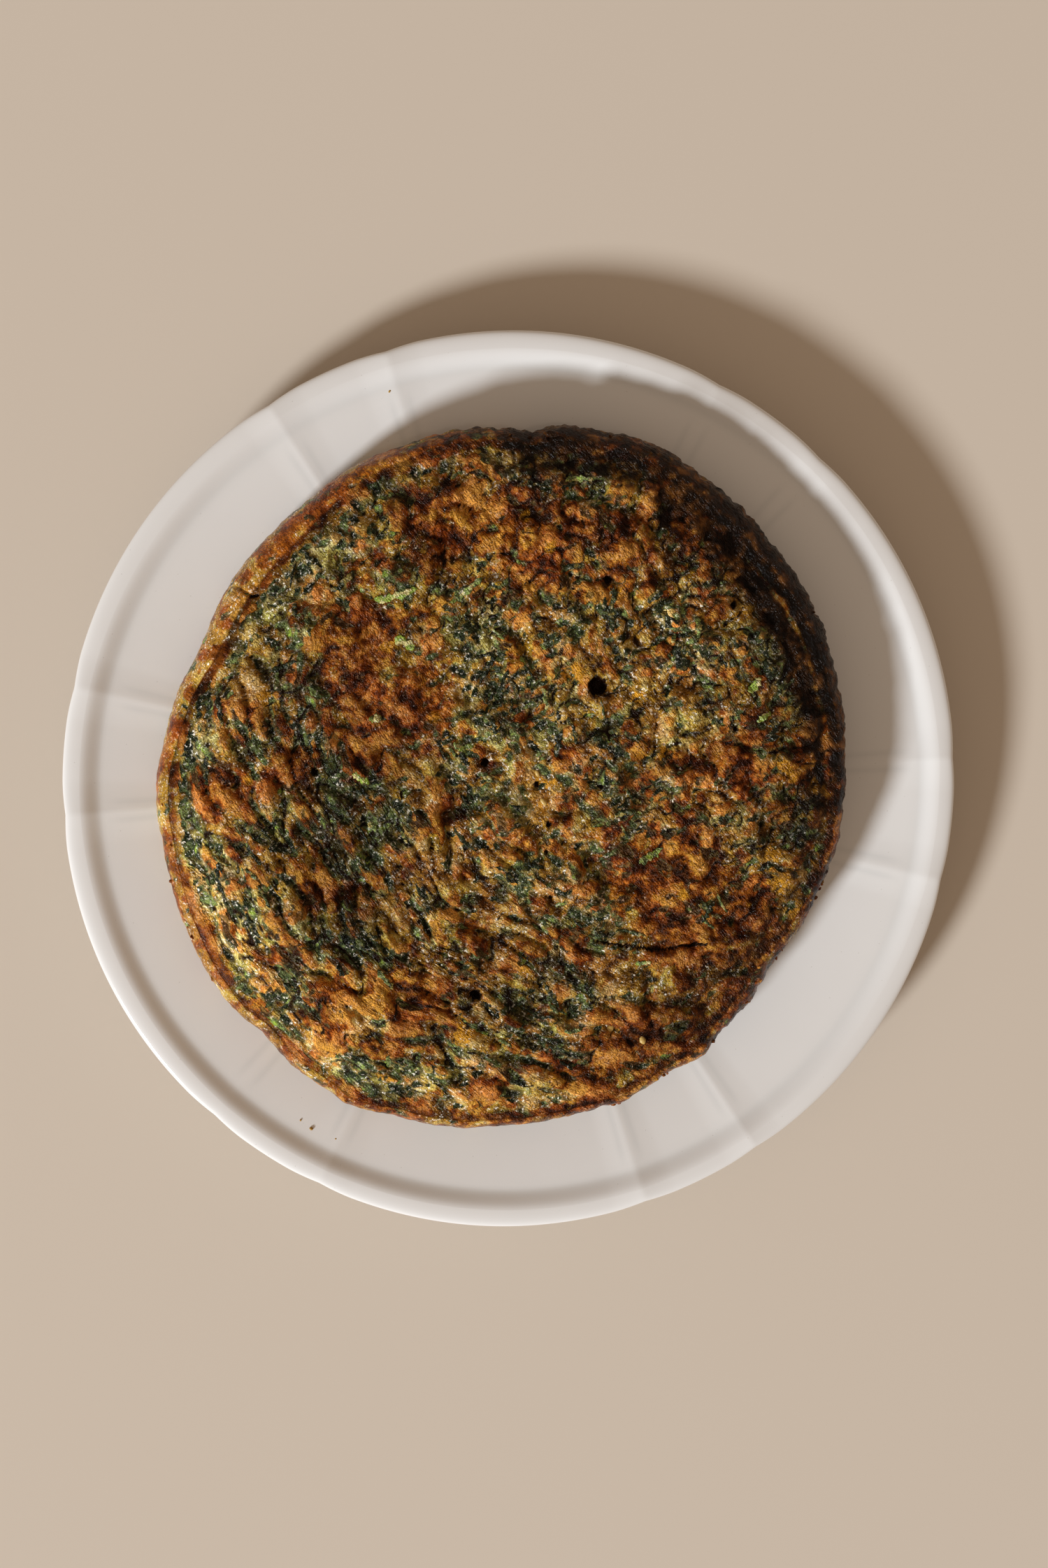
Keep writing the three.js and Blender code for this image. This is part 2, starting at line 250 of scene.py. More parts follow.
def china_material():
    """White glaze, greyer where it pools and with painted shade there, with faint specks of the clay,
    scuffs and ripples.
    """
    material, tree, shader = new_material("white_china")
    place = object_place(tree)
    drift = times(tree, noise_node(tree, place, GLAZE_DRIFT_SCALE, 2), GLAZE_DRIFT)
    pooled_and_shaded = math_node(tree, "ADD", times(tree, attribute(tree, "pooled_and_shaded"), 0.8), drift, True)
    colour = blend(tree, pooled_and_shaded, CHINA_WHITE, POOLED_GLAZE_AND_SHADE)
    inputs = {"Vector": place, "Scale": CLAY_SPECK_SCALE}
    from_speck = add_node(tree, "ShaderNodeTexVoronoi", inputs).outputs["Distance"]
    glint = math_node(tree, "LESS_THAN", from_speck, CLAY_SPECK_RADIUS)
    colour = blend(tree, times(tree, glint, CLAY_SPECK_SHARE), colour, CLAY_SPECK)
    tree.links.new(colour, shader.inputs["Base Color"])
    scuff = noise_node(tree, place, SCUFF_SCALE, 4, 0.7)
    roughness = ramp(tree, scuff, {0.3: grey(0.07), 0.8: grey(0.17)})
    tree.links.new(roughness, shader.inputs["Roughness"])
    add_bump(tree, shader, noise_node(tree, place, RIPPLE_SCALE, 1), 0.2, RIPPLE_DEPTH * MM)
    shader.inputs["Specular IOR Level"].default_value = 0.5
    shader.inputs["Coat Weight"].default_value = 0.6
    shader.inputs["Coat Roughness"].default_value = 0.04
    return material


def make_plate():
    directions = np.arange(PLATE_COLUMNS) * 360 / PLATE_COLUMNS
    back = crease(directions)
    sector = 360 / CREASE_CORNERS
    swell = PANEL_SWELL * (0.5 - 0.5 * np.cos(np.radians((directions - CREASE_TURN) / sector * 360)))

    def raised(radius):
        return CREASE_HEIGHT * back * smoothstep(radius, CREASE_START_RADIUS, WALL_RADIUS)

    under_well = WELL_TOP - CHINA_THICKNESS
    foot_inside = FOOT_RADIUS - FOOT_WIDTH / 2
    foot_outside = FOOT_RADIUS + FOOT_WIDTH / 2
    foot = [
        (2, under_well),
        (40, under_well),
        (foot_inside - 3 * FOOT_EDGE, under_well),
        (foot_inside - FOOT_EDGE, under_well - FOOT_EDGE / 2),
        (foot_inside, FOOT_EDGE),
        (foot_inside + FOOT_EDGE / 3, FOOT_EDGE / 4),
        (foot_inside + FOOT_EDGE, 0),
        (foot_outside - FOOT_EDGE, 0),
        (foot_outside - FOOT_EDGE / 3, FOOT_EDGE / 4),
        (foot_outside, FOOT_EDGE),
    ]
    rings = [polar(radius, directions, z) for radius, z in foot]
    for radius in np.linspace(foot_outside + 2 * FOOT_EDGE, LIP_FOOT_RADIUS, 22):
        rings.append(polar(radius, directions, dish(radius) - CHINA_THICKNESS + raised(radius)))
    bead_middle = plate_top(BEAD_RADIUS) - BEAD_HALF_THICKNESS
    reach = PLATE_RADIUS - BEAD_RADIUS + swell - NOTCH_DEPTH * back
    for angle in np.radians(np.linspace(-90, 90, 19)):
        radius = BEAD_RADIUS + reach * abs(math.cos(angle)) ** BEAD_SQUARENESS
        lift = math.copysign(abs(math.sin(angle)) ** BEAD_SQUARENESS, angle)
        z = bead_middle + BEAD_HALF_THICKNESS * lift
        rings.append(polar(radius, directions, z + raised(radius)))
    lip = np.linspace(LIP_CREST_RADIUS, LIP_FOOT_RADIUS, 10)
    panel = np.linspace(LIP_FOOT_RADIUS - 1, WALL_RADIUS, 14)
    wall = np.linspace(WALL_RADIUS - 1, WELL_RADIUS, 10)
    for radius in [*lip, *panel, *wall, WELL_RADIUS / 2, 2]:
        rings.append(polar(radius, directions, plate_top(radius) + raised(radius)))
    points = np.concatenate(rings)
    faces = ring_faces(PLATE_COLUMNS, len(rings))
    last = len(points) - PLATE_COLUMNS
    faces.append(list(range(PLATE_COLUMNS))[::-1])
    faces.append(list(range(last, last + PLATE_COLUMNS)))
    piece = new_piece("china_plate", points, faces, china_material())
    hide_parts("plate")
    radius = np.hypot(points[:, 0], points[:, 1])
    # Pooled glaze and painted shade at the lip's foot and in thin lines beside each crease
    from_foot_of_lip = np.abs(radius - LIP_FOOT_RADIUS - LIP_POOL_APART)
    on_top_side = points[:, 2] > bead_middle - BEAD_HALF_THICKNESS
    pooled_and_shaded = LIP_POOL_AND_SHADE * np.exp(-((from_foot_of_lip / LIP_POOL_WIDTH) ** 2)) * on_top_side
    apart = from_crease(np.degrees(np.arctan2(points[:, 1], points[:, 0])))
    beside_crease = np.exp(-(((apart - CREASE_LINE_APART) / CREASE_LINE_WIDTH) ** 2))
    beside_crease *= smoothstep(radius, WALL_RADIUS - CREASE_FADE / 2, WALL_RADIUS + CREASE_FADE / 2)
    beside_crease *= smoothstep(radius, LIP_FOOT_RADIUS, LIP_FOOT_RADIUS - CREASE_FADE)
    put_values(piece, {"pooled_and_shaded": np.maximum(pooled_and_shaded, CREASE_POOL_AND_SHADE * beside_crease)})
    return piece


china_plate = make_plate()

# The omelette is a thick round of beaten egg and shredded chard, fried in a pan and turned
# out. Both faces are browned and blistered, and its edge took the curve of the pan's side.
OMELETTE_SLOT = "fried_egg_and_chard"
# Brings a place in mm from its middle, as the camera sees it, onto the top
SEEN_SCALE = 0.9735
SEEN_SHIFT = (-2.45, 1.85)
OMELETTE_MIDDLE = (-3.7, 2.4)
OMELETTE_RADIUS = 103.6
OVAL_STRETCH = 3.4
OVAL_TURN = 57
WAIST_HEIGHT = 22
RIM_HEIGHT = 33
CROWN_RISE = 6.3
CROWN_POWER = 8
UNDER_TUCK = 8.5
REST_GAP = 0.35
RIM_INSET = 4
RIM_RIDGE = 0.7
RIM_RIDGE_WIDTH = 1.8
GROOVE_INSET = 4.8
GROOVE_WIDTH = 2.6
GROOVE_DEPTH = 0.4
# Swellings by direction: where and how wide in degrees, and how large in mm
OUTLINE_SWELLS = (
    (18, 8, -0.4), (40, 5, -0.6), (66, 8, 1.5), (86, 3, -2.3), (91, 4, -1),
    (116, 6, 0.9), (156, 7, -1.7), (181, 8, 1.3), (226, 5, -1.8), (244, 4, 1.3),
    (272, 10, -0.5), (290, 3, 1.3), (305, 3, 1.9), (325, 6, -1.7), (348, 6, 0.8),
)  # fmt: skip
# Where the side slopes in further below the rim
SLOPING_SIDES = ((50, 34, 3.5), (138, 24, 3.7), (322, 16, 2.7))
# Where the rim hangs lower, with a broad low swell inside it
LOWERED_SIDES = ((205, 50, 3),)
SWOLLEN_SIDES = ((205, 50, 3),)
SWELL_INSET = 20
SWELL_WIDTH = 15
GROOVED_SIDES = ((205, 52, 1.3),)
CHARRED_SIDES = ((30, 44, 1.15), (86, 15, 0.55), (318, 22, 0.4))
CHARRED_WIDTH = 19
CHARRED_EDGE = 5
# A painted highlight on a lip line that runs inside the charred rim: where, how wide and how much, how far
# in
LIT_LIP_LINES = ((31, 12, 0.9), (8, 9, 0.6))
LIP_LINE_INSET = 3.4
LIP_LINE_WIDTH = 0.9
# Painted light and shade, paler on the shoulder that faces the light and darker on the slope inside it, on
# a 0 to 1 scale: direction, half width, amount, how far in and how broad
LIT_AND_SHADED_BANDS = ((210, 45, 0.24, 8, 8), (205, 50, -0.1, 36, 14))
# Paler and darker patches of the top: middle, how far it spreads and how much
PALE_PLACES = (
    (56, 44, 12, 0.18), (45, 20, 14, 0.12), (8, -8, 12, 0.1), (-2, 40, 11, 0.16), (0, 75, 14, 0.12),
    (-75, -2, 9, 0.1), (-76, -46, 10, 0.18), (-48, -62, 16, 0.2), (-13, 18, 10, 0.16), (40, -34, 14, 0.14),
    (-15, -90, 8, 0.1), (60, -4, 8, 0.14), (-50, 60, 8, 0.1),
)  # fmt: skip
DARK_PLACES = (
    (88, 24, 13, 0.22), (74, 52, 13, 0.26), (89, -12, 12, 0.28), (74, -54, 14, 0.2), (54, -78, 14, 0.18),
    (8, -61, 12, 0.12), (-45, -43, 11, 0.28), (-42, -12, 12, 0.18), (-30, 6, 11, 0.16), (-64, 14, 8, 0.1),
    (-32, 85, 10, 0.2), (-90, 28, 7, 0.2), (14, 92, 13, 0.16), (44, 2, 9, 0.16), (50, 76, 11, 0.12),
    (-28, 62, 7, 0.16), (60, 14, 6, 0.14), (-75, 46, 7, 0.1),
)  # fmt: skip
# Cracks along which the crust has opened: both ends and how deep
CRACKS = (
    (27, -50, 45, -53, 1.3), (45, -53, 62, -51.5, 1.1), (-86, 50, -73, 54, 1.2), (48, 40, 60, 30, 0.8),
)  # fmt: skip
CRACK_WIDTH = 0.9
SMOOTH_SIDES = ((140, 40, 0.9), (200, 48, 0.9))
# Broad blisters: wavelength, height and number of the noise
BLISTERS = ((27, 1.3, 3), (12, 1.5, 8))
# Steam holes: middle, radius and depth
HOLES = (
    (28, 27, 2.9, 3.8), (-6, 4.4, 1.4, 2.2), (-56.6, 2, 1.3, 1.8), (9.9, -2.6, 1.2, 1.8),
    (13.2, -14.4, 0.9, 1.6), (12.8, -23, 0.9, 1.6), (14, -36.8, 0.9, 1.6), (-8.7, -66, 1.7, 2.4),
    (31, 58.6, 1.3, 2), (29.1, -3.5, 0.9, 1.6), (69.7, 13.9, 1, 1.6), (69.5, 51, 1.2, 1.8),
)  # fmt: skip
# Where the top is leafy, browned or golden: middle, and how far it spreads
LEAFY = (
    (-50, 68, 9), (-62, 57, 9), (-78, 48, 5), (-8, 42, 8), (0, 29, 9), (-4, 17, 6), (-58, 45, 5),
    (9, 22, 5), (31, 50, 4), (55, 38, 6), (48, 50, 5), (25, 88, 6), (5, 90, 5), (10, 98, 7),
    (30, 97, 6), (82, 38, 9), (86, 24, 5), (12, 12, 5), (-96, 8, 6), (-92, -22, 5),
    (-72, -14, 6), (-50, -4, 7), (-36, -14, 8), (-15, 8, 6), (-56, 12, 4),
    (-8, -8, 9), (35, -6, 8), (-86, -26, 7), (-78, -38, 7), (-62, -45, 8), (-45, -50, 8),
    (-47, -24, 8), (5, -30, 6), (40, -15, 6), (62, -42, 4), (28, -46, 6), (-45, -88, 9),
    (-30, -93, 8), (-64, -61, 6), (5, -75, 8), (20, -82, 6), (0, 13, 7), (30, 14, 6),
)  # fmt: skip
BROWNED = (
    (-15, 75, 14), (10, 72, 13), (32, 70, 11), (-48, 38, 9), (-38, 44, 7), (-90, 32, 7),
    (-45, 28, 9), (-25, 20, 8), (-40, 8, 7), (-87, -4, 8), (-55, -35, 6), (-70, -55, 8),
    (-30, -65, 9), (-46, -66, 6), (47, -30, 15), (65, -28, 7), (60, -50, 11), (80, -35, 7),
    (42, -78, 9), (68, 5, 8), (60, 80, 14), (-88, -45, 6), (-52, -78, 8), (92, 5, 11),
    (76, -42, 9), (30, -15, 6), (-45, -30, 6), (-45, 62, 5), (-60, 5, 6), (30, -88, 8),
)  # fmt: skip
GOLDEN = (
    (12, -5, 8), (30, 26, 10), (50, 20, 9), (60, 10, 6), (-75, 28, 5), (-72, 52, 5),
    (18, 48, 6), (-10, 65, 7), (-5, -36, 7), (8, -42, 7), (-35, -45, 6), (-20, -25, 7),
    (85, -25, 5), (92, -36, 5), (36, -60, 7), (-76, -60, 5), (10, -95, 6), (-10, -75, 9),
    (95, -5, 4), (50, 70, 5), (40, 45, 6), (-45, -75, 6),
)  # fmt: skip
# Where yolk set deep yellow: middle, and how far it spreads
YOLKY = (
    (12.6, -0.3, 4), (12.6, -9, 3), (72, 49, 3.5), (20, 31, 4), (85, 2, 4), (86, -33, 5),
    (82, -25, 4), (96, -4, 3.5), (71, 67, 4), (-71, 24, 3), (-12, -76, 4), (90, -42, 4),
)  # fmt: skip
# The long folds curve round this place, and each pair is a length and a width
FOLD_CENTRE = (70, 60)
LONG_FOLD = (10, 5.8)
LONG_FOLD_HEIGHT = 2.2
ROUND_FOLD = 7.5
ROUND_FOLD_HEIGHT = 1.7
WRINKLE = (4.4, 2.5)
WRINKLE_HEIGHT = 1.0
# How the lines of the folds wander: wavelength, reach and the numbers of two noises
FOLD_WANDER = ((38, 5, 11, 12), (10, 1.2, 13, 14))
# The folds are long in the lower left and round in the upper right, and change over this far
CHANGE_OVER = 45
TOP_CELLS = 256
SIDE_RINGS = 13
UNDER_RINGS = 7


def chance(i, j, seed):
    """A fixed random number from 0 to 1 for each point of a lattice."""
    value = np.sin(i * 127.1 + j * 311.7 + seed * 74.7) * 43758.5453
    return value - np.floor(value)


def lattice_noise(x, y, seed):
    """Smooth noise from -1 to 1 between the points of a square lattice one unit apart."""
    i, j = np.floor(x), np.floor(y)
    across, along = smoothstep(x - i, 0, 1), smoothstep(y - j, 0, 1)
    near = chance(i, j, seed) * (1 - across) + chance(i + 1, j, seed) * across
    far = chance(i, j + 1, seed) * (1 - across) + chance(i + 1, j + 1, seed) * across
    return 2 * (near * (1 - along) + far * along) - 1


def slope_noise(x, y, seed):
    """Noise from -1 to 1 that is 0 at each point of the lattice and slopes at random there."""
    i, j = np.floor(x), np.floor(y)
    across, along = smoothstep(x - i, 0, 1), smoothstep(y - j, 0, 1)
    total = np.zeros_like(x)
    for right, share_across in ((0, 1 - across), (1, across)):
        for up, share_along in ((0, 1 - along), (1, along)):
            turn = 2 * math.pi * chance(i + right, j + up, seed)
            slope = np.cos(turn) * (x - i - right) + np.sin(turn) * (y - j - up)
            total += share_across * share_along * slope
    return 1.6 * total


def swelling(swells, degrees):
    """The sum of the swellings at each direction, each largest at its middle."""
    total = np.zeros_like(degrees, dtype=float)
    for at, spread, out in swells:
        apart = (degrees - at + 180) % 360 - 180
        total += out * np.exp(-((apart / spread) ** 2))
    return total


def patches(places, x, y):
    """From 0 away from all the places to 1 at the middle of one."""
    nearest = np.zeros_like(x)
    for middle_x, middle_y, spread in places:
        apart = (x - middle_x) ** 2 + (y - middle_y) ** 2
        nearest = np.maximum(nearest, np.exp(-apart / spread**2))
    return nearest


def outline(degrees):
    oval = OVAL_STRETCH * np.cos(2 * np.radians(degrees - OVAL_TURN))
    return OMELETTE_RADIUS + oval + swelling(OUTLINE_SWELLS, degrees)


def ragged(degrees):
    """The edge's small ins and outs, in mm."""
    angle = np.radians(degrees)
    x, y = OMELETTE_RADIUS * np.cos(angle), OMELETTE_RADIUS * np.sin(angle)
    calm = 1 - 0.7 * np.minimum(1, swelling(SMOOTH_SIDES, degrees))
    return calm * (0.5 * slope_noise(x / 5, y / 5, 31) + 0.18 * slope_noise(x / 1.7, y / 1.7, 32))


def flow(x, y):
    """Places along and across the way that the top's folds run, in mm."""
    for length, reach, seed_x, seed_y in FOLD_WANDER:
        shift_x = reach * slope_noise(x / length, y / length, seed_x)
        shift_y = reach * slope_noise(x / length, y / length, seed_y)
        x, y = x + shift_x, y + shift_y
    x, y = x - FOLD_CENTRE[0], y - FOLD_CENTRE[1]
    return np.arctan2(-y, -x) * OMELETTE_RADIUS, np.hypot(x, y)


def billow(x, y, seed):
    """Rounded lumps with sharp valleys between them, from 0 in a valley to 1."""
    return np.minimum(1, np.abs(slope_noise(x, y, seed)) ** 0.75 * 1.15)


def long_folds(x, y):
    """From 0 where the folds are round to 1 where they are long."""
    return smoothstep(-x - y, -CHANGE_OVER, CHANGE_OVER)


def crumple(x, y):
    """Folds and wrinkles too fine for the solid, in mm, and how deep in a crease, 0 to 1, which is painted
    as shade.
    """
    along, across = flow(x, y)
    long_share = long_folds(x, y)
    long_fold = billow(along / LONG_FOLD[0], across / LONG_FOLD[1], 21)
    slant_x, slant_y = (x + 0.6 * y) * 0.86, (y - 0.6 * x) * 0.86
    round_fold = billow(slant_x / ROUND_FOLD + 3, slant_y / ROUND_FOLD + 8, 22)
    long_wrinkle = billow(along / WRINKLE[0], across / WRINKLE[1], 23)
    round_wrinkle = billow(slant_x / 3.1, slant_y / 3.4, 25)
    pucker = slope_noise(slant_x / 2.1, slant_y / 2.1, 24)
    fold = long_fold * long_share + round_fold * (1 - long_share)
    wrinkle = long_wrinkle * long_share + round_wrinkle * (1 - long_share)
    fold_height = LONG_FOLD_HEIGHT * long_share + ROUND_FOLD_HEIGHT * (1 - long_share)
    rise = fold_height * (fold - 0.4) + WRINKLE_HEIGHT * (wrinkle - 0.4) + 0.22 * pucker
    hollow_shade = np.maximum(smoothstep(fold, 0.24, 0), 0.75 * smoothstep(wrinkle, 0.2, 0))
    return rise, np.clip(hollow_shade - 0.3 * pucker, 0, 1)


def stretched(tree, place, turn, sizes):
    """The place turned about the vertical, then divided by a size in metres each way."""
    inputs = {"Vector": place, "Angle": turn}
    spun = add_node(tree, "ShaderNodeVectorRotate", inputs, rotation_type="Z_AXIS")
    scales = tuple(1 / size for size in sizes)
    return add_node(
        tree, "ShaderNodeVectorMath", {0: spun.outputs[0], 1: scales}, operation="MULTIPLY"
    ).outputs[0]


GRAIN_SIZE = 1.3 * MM
GRAIN_TURN = math.radians(50)
# Fine strokes in the skin: length, width and depth in metres
STROKE = (3 * MM, 0.75 * MM, 2 * MM)
# Painted glints of oil, pale on egg and leaf and warm on the crust, and the skin's finest grit
GLINT_SCALE = 1000
GLINT_COLOUR = (1, 0.93, 0.77, 1)
CRUST_GLINT_COLOUR = (0.85, 0.5, 0.27, 1)
GRIT_SCALE = 2200
# Torn leaf lies along the folds and two ways across them: turn, then length, width and
# depth of a bit in metres
FOLDED_LEAF = (7 * MM, 2.4 * MM, 4 * MM)
LEAF_LAYERS = (
    (math.radians(40), (6.5 * MM, 2.8 * MM, 3 * MM)),
    (math.radians(-30), (4.2 * MM, 2 * MM, 2.5 * MM)),
)


def nudged(tree, place, scale, amount):
    """The place moved about by noise."""
    shift = add_node(tree, "ShaderNodeTexNoise", {"Vector": place, "Scale": scale}).outputs["Color"]
    shift = add_node(
        tree, "ShaderNodeVectorMath", {0: shift, 1: (0.5, 0.5, 0.5)}, operation="SUBTRACT"
    ).outputs[0]
    inputs = {0: shift, 1: (amount, amount, amount), 2: place}
    return add_node(tree, "ShaderNodeVectorMath", inputs, operation="MULTIPLY_ADD").outputs[0]


def cells_of(tree, place, scale=1):
    """A cell texture: the distance to each cell's middle, and two chance numbers for it."""
    cells = add_node(tree, "ShaderNodeTexVoronoi", {"Vector": place, "Scale": scale})
    chances = add_node(tree, "ShaderNodeSeparateColor", {"Color": cells.outputs["Color"]}).outputs
    return cells.outputs["Distance"], chances[0], chances[1]


def share_of(tree, value, low, high):
    """From 0 at the low value to 1 at the high one."""
    inputs = {"Value": value, "From Min": low, "From Max": high}
    return add_node(tree, "ShaderNodeMapRange", inputs, interpolation_type="SMOOTHSTEP").outputs[0]


def dome(tree, distance, steepness):
    """A round top over each cell's middle, from 1 to 0."""
    fallen = times(tree, times(tree, distance, distance), steepness)
    return math_node(tree, "SUBTRACT", 1, fallen, True)


def mix_values(tree, share, first, second):
    return add_node(tree, "ShaderNodeMix", {0: share, 2: first, 3: second}).outputs[0]


def grain_group():
    """Bubbled, wet grains: their height in mm, a chance number for each, a mask of painted glints, and its
    fine grit.
    """
    inputs = {"Place": "NodeSocketVector", "Along Fold": "NodeSocketVector", "Folded": "NodeSocketFloat"}
    group, inside, outside = new_group(
        "fried_grain", inputs, dict.fromkeys(("Height", "Chance", "Glint", "Grit"), "NodeSocketFloat")
    )
    place, along, folded = (inside.outputs[key] for key in ("Place", "Along Fold", "Folded"))
    grains = stretched(group, place, GRAIN_TURN, (1.35 * GRAIN_SIZE, GRAIN_SIZE, GRAIN_SIZE))
    distance, number, _ = cells_of(group, nudged(group, grains, 0.9, 0.9))
    small_distance, _, _ = cells_of(group, nudged(group, grains, 1.7, 0.5), 2.2)
    broad = noise_node(group, grains, 0.36, 1)
    height = times(group, dome(group, distance, 1.3), 0.36)
    height = plus(group, height, times(group, dome(group, small_distance, 1.3), 0.28))
    height = plus(group, height, times(group, broad, 1.1))
    strokes = mix_values(
        group,
        folded,
        noise_node(group, stretched(group, place, GRAIN_TURN, STROKE), 1, 1),
        noise_node(group, stretched(group, along, 0, STROKE), 1, 1),
    )
    height = plus(group, height, times(group, strokes, 0.7))
    grit = noise_node(group, place, GRIT_SCALE, 2, 0.7)
    height = plus(group, height, times(group, grit, 0.35))
    glint = share_of(group, noise_node(group, place, GLINT_SCALE, 2, 0.7), 0.55, 0.76)
    for title, value in (("Height", height), ("Chance", number), ("Glint", glint), ("Grit", grit)):
        group.links.new(value, outside.inputs[title])
    return group


fried_grain = grain_group()


def leaf_group():
    """Torn bits of leaf: where one lies, from 0 to 1, and its tone."""
    inputs = {"Place": "NodeSocketVector", "Along Fold": "NodeSocketVector"}
    inputs |= dict.fromkeys(("Amount", "Folded"), "NodeSocketFloat")
    group, inside, outside = new_group(
        "torn_leaf", inputs, dict.fromkeys(("Mask", "Tone"), "NodeSocketFloat")
    )
    titles = ("Place", "Along Fold", "Amount", "Folded")
    place, along, amount, folded = (inside.outputs[title] for title in titles)
    wavy = nudged(group, nudged(group, place, 180, 4 * MM), 600, 1.3 * MM)
    along = nudged(group, along, 500, 2.4 * MM)
    mask, tone = 0.0, 0.5
    plain = times(group, folded, -0.15)
    layers = [(along, 0, FOLDED_LEAF, math_node(group, "SUBTRACT", folded, 1))]
    layers += [(wavy, turn, sizes, plain) for turn, sizes in LEAF_LAYERS]
    for where, turn, sizes, change in layers:
        distance, chance_here, chance_tone = cells_of(group, stretched(group, where, turn, sizes))
        likely = plus(group, amount, change)
        here = share_of(group, math_node(group, "SUBTRACT", likely, chance_here), 0, 0.06)
        inside_bit = times(group, here, share_of(group, distance, 0.75, 0.3))
        tone = mix_values(group, inside_bit, tone, chance_tone)
        mask = math_node(group, "MAXIMUM", mask, inside_bit)
    group.links.new(mask, outside.inputs["Mask"])
    group.links.new(tone, outside.inputs["Tone"])
    return group


torn_leaf = leaf_group()


def colour_stops(*stops):
    """Ramp stops from (position, red, green, blue) rows."""
    return {position: (red, green, blue, 1) for position, red, green, blue in stops}


EGG_COLOURS = colour_stops(
    (0.15, 0.075, 0.028, 0.003), (0.4, 0.215, 0.096, 0.009), (0.6, 0.36, 0.188, 0.024),
    (0.85, 0.53, 0.35, 0.10),
)  # fmt: skip
OLIVE_COLOURS = colour_stops(
    (0.15, 0.042, 0.030, 0.006), (0.4, 0.165, 0.12, 0.024), (0.65, 0.33, 0.253, 0.066),
    (0.9, 0.55, 0.475, 0.19),
)  # fmt: skip
BROWN_COLOURS = colour_stops(
    (0.15, 0.021, 0.004, 0.0005), (0.4, 0.105, 0.0215, 0.0016), (0.6, 0.245, 0.064, 0.005),
    (0.85, 0.47, 0.2, 0.032),
)  # fmt: skip
LEAF_COLOURS = colour_stops(
    (0.1, 0.004, 0.006, 0.002), (0.42, 0.02, 0.027, 0.009), (0.66, 0.067, 0.084, 0.027),
    (0.84, 0.165, 0.2, 0.056), (1.0, 0.23, 0.32, 0.035),
)  # fmt: skip
CHARRED_COLOURS = colour_stops(
    (0.2, 0.007, 0.003, 0.0015), (0.5, 0.021, 0.0075, 0.002), (0.7, 0.05, 0.018, 0.0035),
    (0.95, 0.15, 0.055, 0.01),
)  # fmt: skip
# Painted shade for crevices, steam holes and cracks, and along the torn edges of leaf
CREVICE_SHADE = (0.010, 0.003, 0.0006, 1)
TINTS = colour_stops((0.33, 1.05, 0.87, 1), (0.5, 1, 1, 1), (0.67, 1, 1.1, 0.8))
# Leaf lies this much lower than the grains round it, in mm
LEAF_FLATTENS = 0.35
GRAIN_SHADES = {0.0: grey(0.72), 0.3: grey(0.95), 0.7: grey(1.05), 1.0: grey(1.25)}
# The grit's own tone, with painted fine shade and glint from the same noise that roughens the bump
GRIT_SHADE_AND_GLINT = colour_stops((0.3, 0.4, 0.38, 0.36), (0.5, 1, 1, 1), (0.7, 1.6, 1.65, 1.8))
# How much the painted light and shade and the paler and darker patches scale the colour
PALE_AND_LIT_SHADES = colour_stops((0.1, 0.26, 0.26, 0.27), (0.5, 1.04, 1.05, 1.08), (0.9, 1.75, 1.77, 1.82))
# Spots of yolk: their colour, how many cells to the metre they lie in, and the share of cells
AMBER = (0.5, 0.225, 0.014, 1)
AMBER_CELLS = 150
AMBER_SHARE = 0.09
# Egg that leaf shows through, and leaf that fried brown
LEAF_VEIL = (0.18, 0.155, 0.052, 1)
FRIED_LEAF = (0.045, 0.018, 0.004, 1)
# Drifts of colour, from broad to small, by how many there are to the metre
BROAD_DRIFT = 75
TINT_DRIFT = 110
MID_DRIFT = 170
SMALL_DRIFT = 420


def spread_out(tree, *parts):
    """The middle value 0.5 plus each (value, weight) part's departure from its own middle."""
    total = 0.5 - sum(weight for _, weight in parts) / 2
    for value, weight in parts:
        total = plus(tree, total, times(tree, value, weight))
    return total


def drifts(tree, place, scale, detail):
    """Three smooth noises of one size that don't follow each other."""
    inputs = {"Vector": place, "Scale": scale, "Detail": detail, "Roughness": 0.5}
    colour = add_node(tree, "ShaderNodeTexNoise", inputs).outputs["Color"]
    return add_node(tree, "ShaderNodeSeparateColor", {"Color": colour}).outputs


